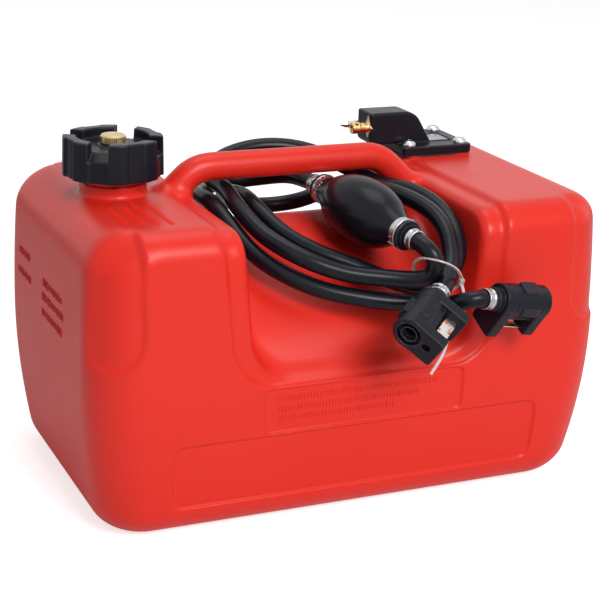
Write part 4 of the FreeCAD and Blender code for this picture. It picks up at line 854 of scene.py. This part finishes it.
EARS_TURN = Matrix.Rotation(math.radians(130), 4, "Z")
clamps = [band("clamp", 10.2, 0.9, 9, True, at @ Matrix.Translation((0, 0, -0.0053)) @ EARS_TURN)
          for at in (INLET_AT, OUTLET_AT)]
show(joined("broad_bands", clamps), band_steel, "tank", "bulb_clamps")
SOCKET_A = set_square((0.000742, -0.178087, 0.159898), (-0.74404, -0.60586, -0.28167),
                      (0.63597, -0.51297, -0.57654))
SOCKET_B = set_square((0.123303, -0.1462, 0.160339), (0.96536, 0.17552, -0.19307),
                      (-0.25377, 0.45948, -0.85116))
ferrule_spots = [at @ Matrix.Translation((0, 0, up)) for at, up in (
    (INLET_AT, 0.0096), (OUTLET_AT, 0.0096), (SOCKET_A, -0.0521), (SOCKET_B, -0.0521))]
rings = [band("ferrule", 6.3, 0.8, 5.8, False, at) for at in ferrule_spots]
show(joined("hose_rings", rings), band_steel, "tank", "ferrules")


# ---------------------------------------------------------------- quick connectors
# Black nylon sockets, one for the engine and one for the tank, with grip pads on the barrel and a
# hole for the guide pin in the foot. Between the foot and the wing behind it lies a bent steel latch
# plate with spots of rust.

def connector_form(x, y, z):
    """One socket along Z, with its mouth at 0 and the hose behind it."""
    r = np.hypot(x, y)
    barrel = rounded_and(r - 12, np.abs(z + 16.5) - 16.5, 1.0)
    pad = rounded_and(oblong(y, z + 19, 5.5, 7.5, 1.0), np.abs(x + 11.4) - 2.2, 0.6)
    rib = rounded_and(np.abs(y) - 13, oblong(x, z + 19, 3.5, 7.5, 1.0), 0.6)
    barrel = rounded_or(barrel, np.minimum(pad, rib), 0.5)
    waist = rounded_and(oblong(x - 5.5, y, 5.5, 9, 1.2), np.abs(z + 16.5) - 16.5, 0.6)
    foot = rounded_and(oblong(x - 12, y, 12, 11.5, 2.4), np.abs(z + 4.5) - 4.5, 1.0)
    wing = np.minimum(oblong(x - 13.5, y, 13.5, 12, 3.2), r - 12)
    wing = rounded_and(wing, np.abs(z + 37.5) - 4.5, 1.2)
    rear = rounded_and(r - 8.5, np.abs(z + 40) - 7, 0.7)
    lip = rounded_and(np.abs(r - 9.5) - 0.7, np.abs(z) - 0.6, 0.3)
    moat = rounded_and(np.abs(r - 7.4) - 1.2, -3.2 - z, 0.4)
    form = rounded_or(rounded_or(barrel, waist, 0.8), foot, 0.8)
    form = rounded_or(form, rounded_or(wing, rear, 0.8), 0.8)
    form = rounded_and(np.minimum(form, lip), -moat, 0.3)
    funnel = r - 4.7 - np.maximum(z + 0.7, 0) * 1.1
    form = rounded_and(form, -np.maximum(funnel, -20 - z), 0.3)
    guide = np.hypot(x - 14.5, y) - 2.9 - np.maximum(z + 0.5, 0)
    form = rounded_and(form, -np.maximum(guide, -9.2 - z), 0.3)
    groove = np.maximum(r - 6.85, np.abs(z + 4.8) - 1.1)
    chamber = np.maximum(r - 6.2, np.abs(z + 33.5) - 13.5)
    return np.maximum(form, -np.minimum(groove, chamber))


def latch_form(x, y, z):
    """The bent plate: a top, and a side with its window and leaning ends."""
    ends = np.abs(z + 21) - 11.7
    plate = rounded_and(np.abs(x - 17.6) - 4.4, ends, 0.3)
    top = rounded_and(plate, np.abs(y - 5.6) - 0.6, 0.25)
    lean = x + 0.35 * np.maximum(np.abs(y) - 3.6, 0)
    side = rounded_and(np.abs(lean - 21.4) - 0.6, np.abs(y) - 6.2, 0.3)
    side = rounded_and(side, ends, 0.3)
    window = rounded_and(np.abs(y) - 1.6, np.abs(z + 15) - 3.2, 0.6)
    side = rounded_and(side, -window, 0.3)
    return np.minimum(top, side)


latch_steel = Finish("latch_steel", "clamp_steel", Metallic=1.0)
stain = latch_steel.rise(latch_steel.noise(230, 3), 0.56, 0.62)
latch_steel.set(Base_Color=latch_steel.between((0.72, 0.71, 0.70), (0.55, 0.14, 0.04), stain),
                Roughness=latch_steel.between(0.24, 0.6, stain),
                Metallic=latch_steel.between(1.0, 0.2, stain))
latch_steel.bump(latch_steel.noise(1000, 3), 0.00003)


def connector(letter, place):
    """The moulding and the latch plate of one connector."""
    name = "connector_" + letter
    body = moulding(name + "_socket", connector_form, (-14, -14, -49), (29, 14, 2), 0.62 * coarse, place)
    show(body, black, "tank", name + "_body")
    plate = moulding(name + "_plate", latch_form, (12, -8, -34), (23.5, 8, -8), 0.42 * coarse, place)
    show(plate, latch_steel, "latch_" + letter, name + "_latch")
    return [body, plate]


connector_a = connector("a", SOCKET_A)
connector_b = connector("b", SOCKET_B)


# ---------------------------------------------------------------- hoses
# Two lengths of smooth black fuel hose in one coil. One runs from the bulb's outlet twice round
# the recess to the engine's connector, the other from its inlet to the tank's connector.

HOSE_RADIUS = 0.0063
hose_rubber = Finish("hose_rubber", "black_rubber", Specular_IOR_Level=0.2)
dust = hose_rubber.noise(60, 4)
hose_rubber.set(Base_Color=hose_rubber.between((0.004, 0.005, 0.009), (0.009, 0.010, 0.016), dust),
                Roughness=hose_rubber.between(0.20, 0.32, dust))
hose_rubber.bump(hose_rubber.noise(900, 2), 0.00003)


def curve_along(name, points, resolution):
    """A smooth curve along a row of points in millimetres."""
    curve = bpy.data.curves.new(name, "CURVE")
    curve.dimensions = "3D"
    spline = curve.splines.new("NURBS")
    spline.points.add(len(points) - 1)
    for knot, (x, y, z) in zip(spline.points, points):
        knot.co = (x / 1000, y / 1000, z / 1000, 1)
    spline.order_u = 3
    spline.use_endpoint_u = True
    spline.resolution_u = resolution
    return new_piece(name, curve)


def hose(name, points, with_pieces):
    """One hose as a cord, in place of its CAD node; with_pieces, the pieces at its two ends, is not used."""
    piece = curve_along(name, points, 8)
    piece.data.bevel_depth = HOSE_RADIUS
    piece.data.bevel_resolution = 6
    piece.data.use_fill_caps = True
    show(piece, hose_rubber, "tank", name.replace("cord_", "hose_"))
    return piece


ENGINE_ROUTE = (
    (33.7, -113.6, 206.1), (36.2, -126.2, 204.7), (42.4, -134.6, 197), (42.4, -133.4, 185.5),
    (36.2, -127.3, 179.5), (26, -120.5, 178.5), (9, -113.5, 179.5), (-14, -105, 182), (-40, -92, 191),
    (-60, -68, 202.5), (-66, -34, 214.5), (-63, 0, 221), (-68, 30, 224), (-48, 50, 233), (-14, 54, 239),
    (20, 46, 236), (45, 22, 225.5), (57.8, -6, 217), (74, -28, 218), (83, -56, 213), (84, -84, 203),
    (80, -102, 187), (68, -108, 171), (48, -107, 165.5), (28, -98, 170), (6, -83, 179), (-18, -70, 187),
    (-38, -50, 197.5), (-48, -25, 211), (-48, 2, 215), (-54, 32, 210), (-38, 60, 193.5), (-8, 74, 184),
    (23, 66, 187), (38, 42, 202), (37.5, 12, 216), (46, -16, 219.5), (59, -44, 219), (69, -72, 214),
    (70, -96, 206), (66.5, -112, 193.5), (61.5, -122.5, 185), (51.2, -137, 179), (37.2, -148.4, 173.7))
TANK_ROUTE = (
    (11.3, -1.4, 217.9), (8.8, 11.2, 219.2), (3, 38, 218), (-14, 60, 211), (-42, 64, 208.5),
    (-68, 46, 209), (-79, 18, 214), (-78, -12, 214.8), (-74, -42, 202.5), (-66, -66, 188.5),
    (-50, -84, 178), (-28, -100, 169), (0, -112, 164), (20, -118.5, 161.5), (36, -121, 160),
    (46, -129.5, 161), (51, -141, 163.5), (55.5, -151, 168.5), (65, -156.8, 172), (76, -154.8, 169.8))
hose("cord_engine_side", ENGINE_ROUTE, connector_a + [outlet_collar])
hose("cord_tank_side", TANK_ROUTE, connector_b + [inlet_collar])


# ---------------------------------------------------------------- cable tie
# A thin flat nylon strap, pale and a little pink, drawn round the coil. Its lock sits at the
# right, and the long tail hangs down in front.

tie_nylon = Finish("tie_nylon", "tie_plastic", Subsurface_Weight=0.15,
                   Subsurface_Radius=(0.002, 0.001, 0.001))
tie_nylon.set(Base_Color=tie_nylon.between((0.55, 0.46, 0.46), (0.72, 0.64, 0.64), tie_nylon.noise(200, 3)),
              Roughness=tie_nylon.between(0.30, 0.45, tie_nylon.noise(500, 2)))
tie_nylon.bump(tie_nylon.noise(900, 2), 0.00002)
LOOP = (
    (60.6, -138.6, 177.5), (58.2, -131.8, 169.6), (46, -121.3, 169.8), (37, -115.2, 176.5),
    (33.4, -117, 188), (33.4, -126, 195.5), (36, -138.5, 197.8), (41.5, -144.2, 197.2),
    (50, -143, 193.4), (57.4, -141.6, 188), (61, -139.8, 181))
TAIL = (
    (60.9, -139, 178.5), (63.5, -144.5, 165), (55.5, -150.5, 152.5), (47.5, -149, 143),
    (45, -150.5, 134), (40.5, -151, 126), (34, -152, 118))


def strap(name, points, tilt):
    """A flat strap along a row of points, leaning by its tilt in radians."""
    growth = Growth(name, width=0.0021, thickness=0.0010, tilt=tilt)
    bent = growth.node("GeometryNodeSetCurveTilt", {}, {
        "Curve": growth.given("Geometry"), "Tilt": growth.given("tilt")})
    section = growth.node("GeometryNodeCurvePrimitiveQuadrilateral", {}, {
        "Width": growth.given("width"), "Height": growth.given("thickness")})
    solid = growth.node("GeometryNodeCurveToMesh", {}, {
        "Curve": bent, "Profile Curve": section, "Fill Caps": True})
    return tidy(growth.grow(solid, tie_nylon, curve_along(name, points, 10)))


def lock_form(x, y, z):
    """The lock's small block with the slot for the strap."""
    block = rounded_and(oblong(x, y, 1.8, 1.5, 0.4), np.abs(z) - 2.4, 0.4)
    return rounded_and(block, -rounded_and(np.abs(x) - 1.0, np.abs(y + 1.2) - 0.5, 0.2), 0.2)


LOCK_AT = set_square((0.0608, -0.1392, 0.1792), (-0.4, 1.2, -3.5))
lock = moulding("lock", lock_form, (-3.5, -3.5, -3.5), (3.5, 3.5, 3.5), 0.3 * coarse, LOCK_AT)
tie = joined("tie", [strap("tie_loop", LOOP, 1.2), strap("tie_tail", TAIL, 0.5), lock])
show(tie, tie_nylon, "tank", "cable_tie")


# ---------------------------------------------------------------- gauge and inner pieces
# What is turned, stamped or moulded plainly keeps its own solid: the gauge under its window, the
# pick-up, the valves, springs, seals and hose tails, and the inserts under the screws.

def paint(finish, *names):
    """Gives CAD nodes this finish."""
    for name in names:
        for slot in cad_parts[name].material_slots:
            slot.material = finish.material


def both(*names):
    """The same node of each connector."""
    return ["connector_%s_%s" % (letter, name) for letter in "ab" for name in names]


paint(brass, "vent_bush", "gauge_strip", "pickup_tube", "threaded_inserts")
paint(steel, *both("valve_spring", "latch_spring"))
paint(black, *both("tail"))

nitrile = Finish("nitrile", "nitrile")
nitrile.set(Base_Color=nitrile.between((0.010, 0.010, 0.011), (0.024, 0.024, 0.026), nitrile.noise(300, 3)),
            Roughness=nitrile.between(0.45, 0.6, nitrile.noise(800, 2)))
nitrile.bump(nitrile.noise(1500, 2), 0.00002)
paint(nitrile, "cap_gasket", "vent_o_ring", "gauge_gasket", "inlet_disc", "outlet_disc", *both("o_ring"))

acetal = Finish("white_acetal", "white_plastic", Subsurface_Weight=0.1)
acetal.set(Base_Color=acetal.between((0.70, 0.70, 0.68), (0.80, 0.80, 0.78), acetal.noise(60, 3)),
           Roughness=acetal.between(0.35, 0.5, acetal.noise(400, 2)))
acetal.bump(acetal.noise(1200, 2), 0.00001)
paint(acetal, "float_guide", "pickup_strainer", *both("poppet"))

foam = Finish("float_foam", "float_foam")
foam.set(Base_Color=foam.between((0.05, 0.05, 0.05), (0.13, 0.13, 0.13), foam.noise(900, 4)), Roughness=0.85)
foam.bump(foam.noise(1300, 4), 0.0002)
paint(foam, "gauge_float")

card = Finish("dial_card", "dial_card")
dial_spot = (0.145, 0.068, 0.228)
middle = card.node("ShaderNodeVectorMath", {"operation": "SUBTRACT"}, {0: card.spot, 1: dial_spot})
flat = card.node("ShaderNodeVectorMath", {"operation": "MULTIPLY"}, {0: middle, 1: (1, 1, 0)})
reach = card.node("ShaderNodeVectorMath", {"operation": "LENGTH"}, {0: flat}, "Value")
ring = card.rise(reach, 0.0058, 0.0060) * (1 - card.rise(reach, 0.0068, 0.0070))
card.set(Base_Color=card.between((0.66, 0.67, 0.69), (0.05, 0.05, 0.06), ring * 0.9),
         Roughness=card.between(0.45, 0.6, card.noise(500, 2)))
paint(card, "gauge_dial")

signal = Finish("pointer_plastic", "pointer_red")
signal.set(Base_Color=signal.between((0.60, 0.04, 0.03), (0.70, 0.06, 0.04), signal.noise(400, 2)),
           Roughness=0.4)
paint(signal, "gauge_pointer")

window = Finish("clear_window", "clear_window", Transmission_Weight=0.85, IOR=1.49)
window.set(Base_Color=(0.62, 0.66, 0.72), Roughness=window.between(0.04, 0.14, window.noise(200, 3)))
window.bump(window.noise(150, 2), 0.00003)
paint(window, "gauge_lens")
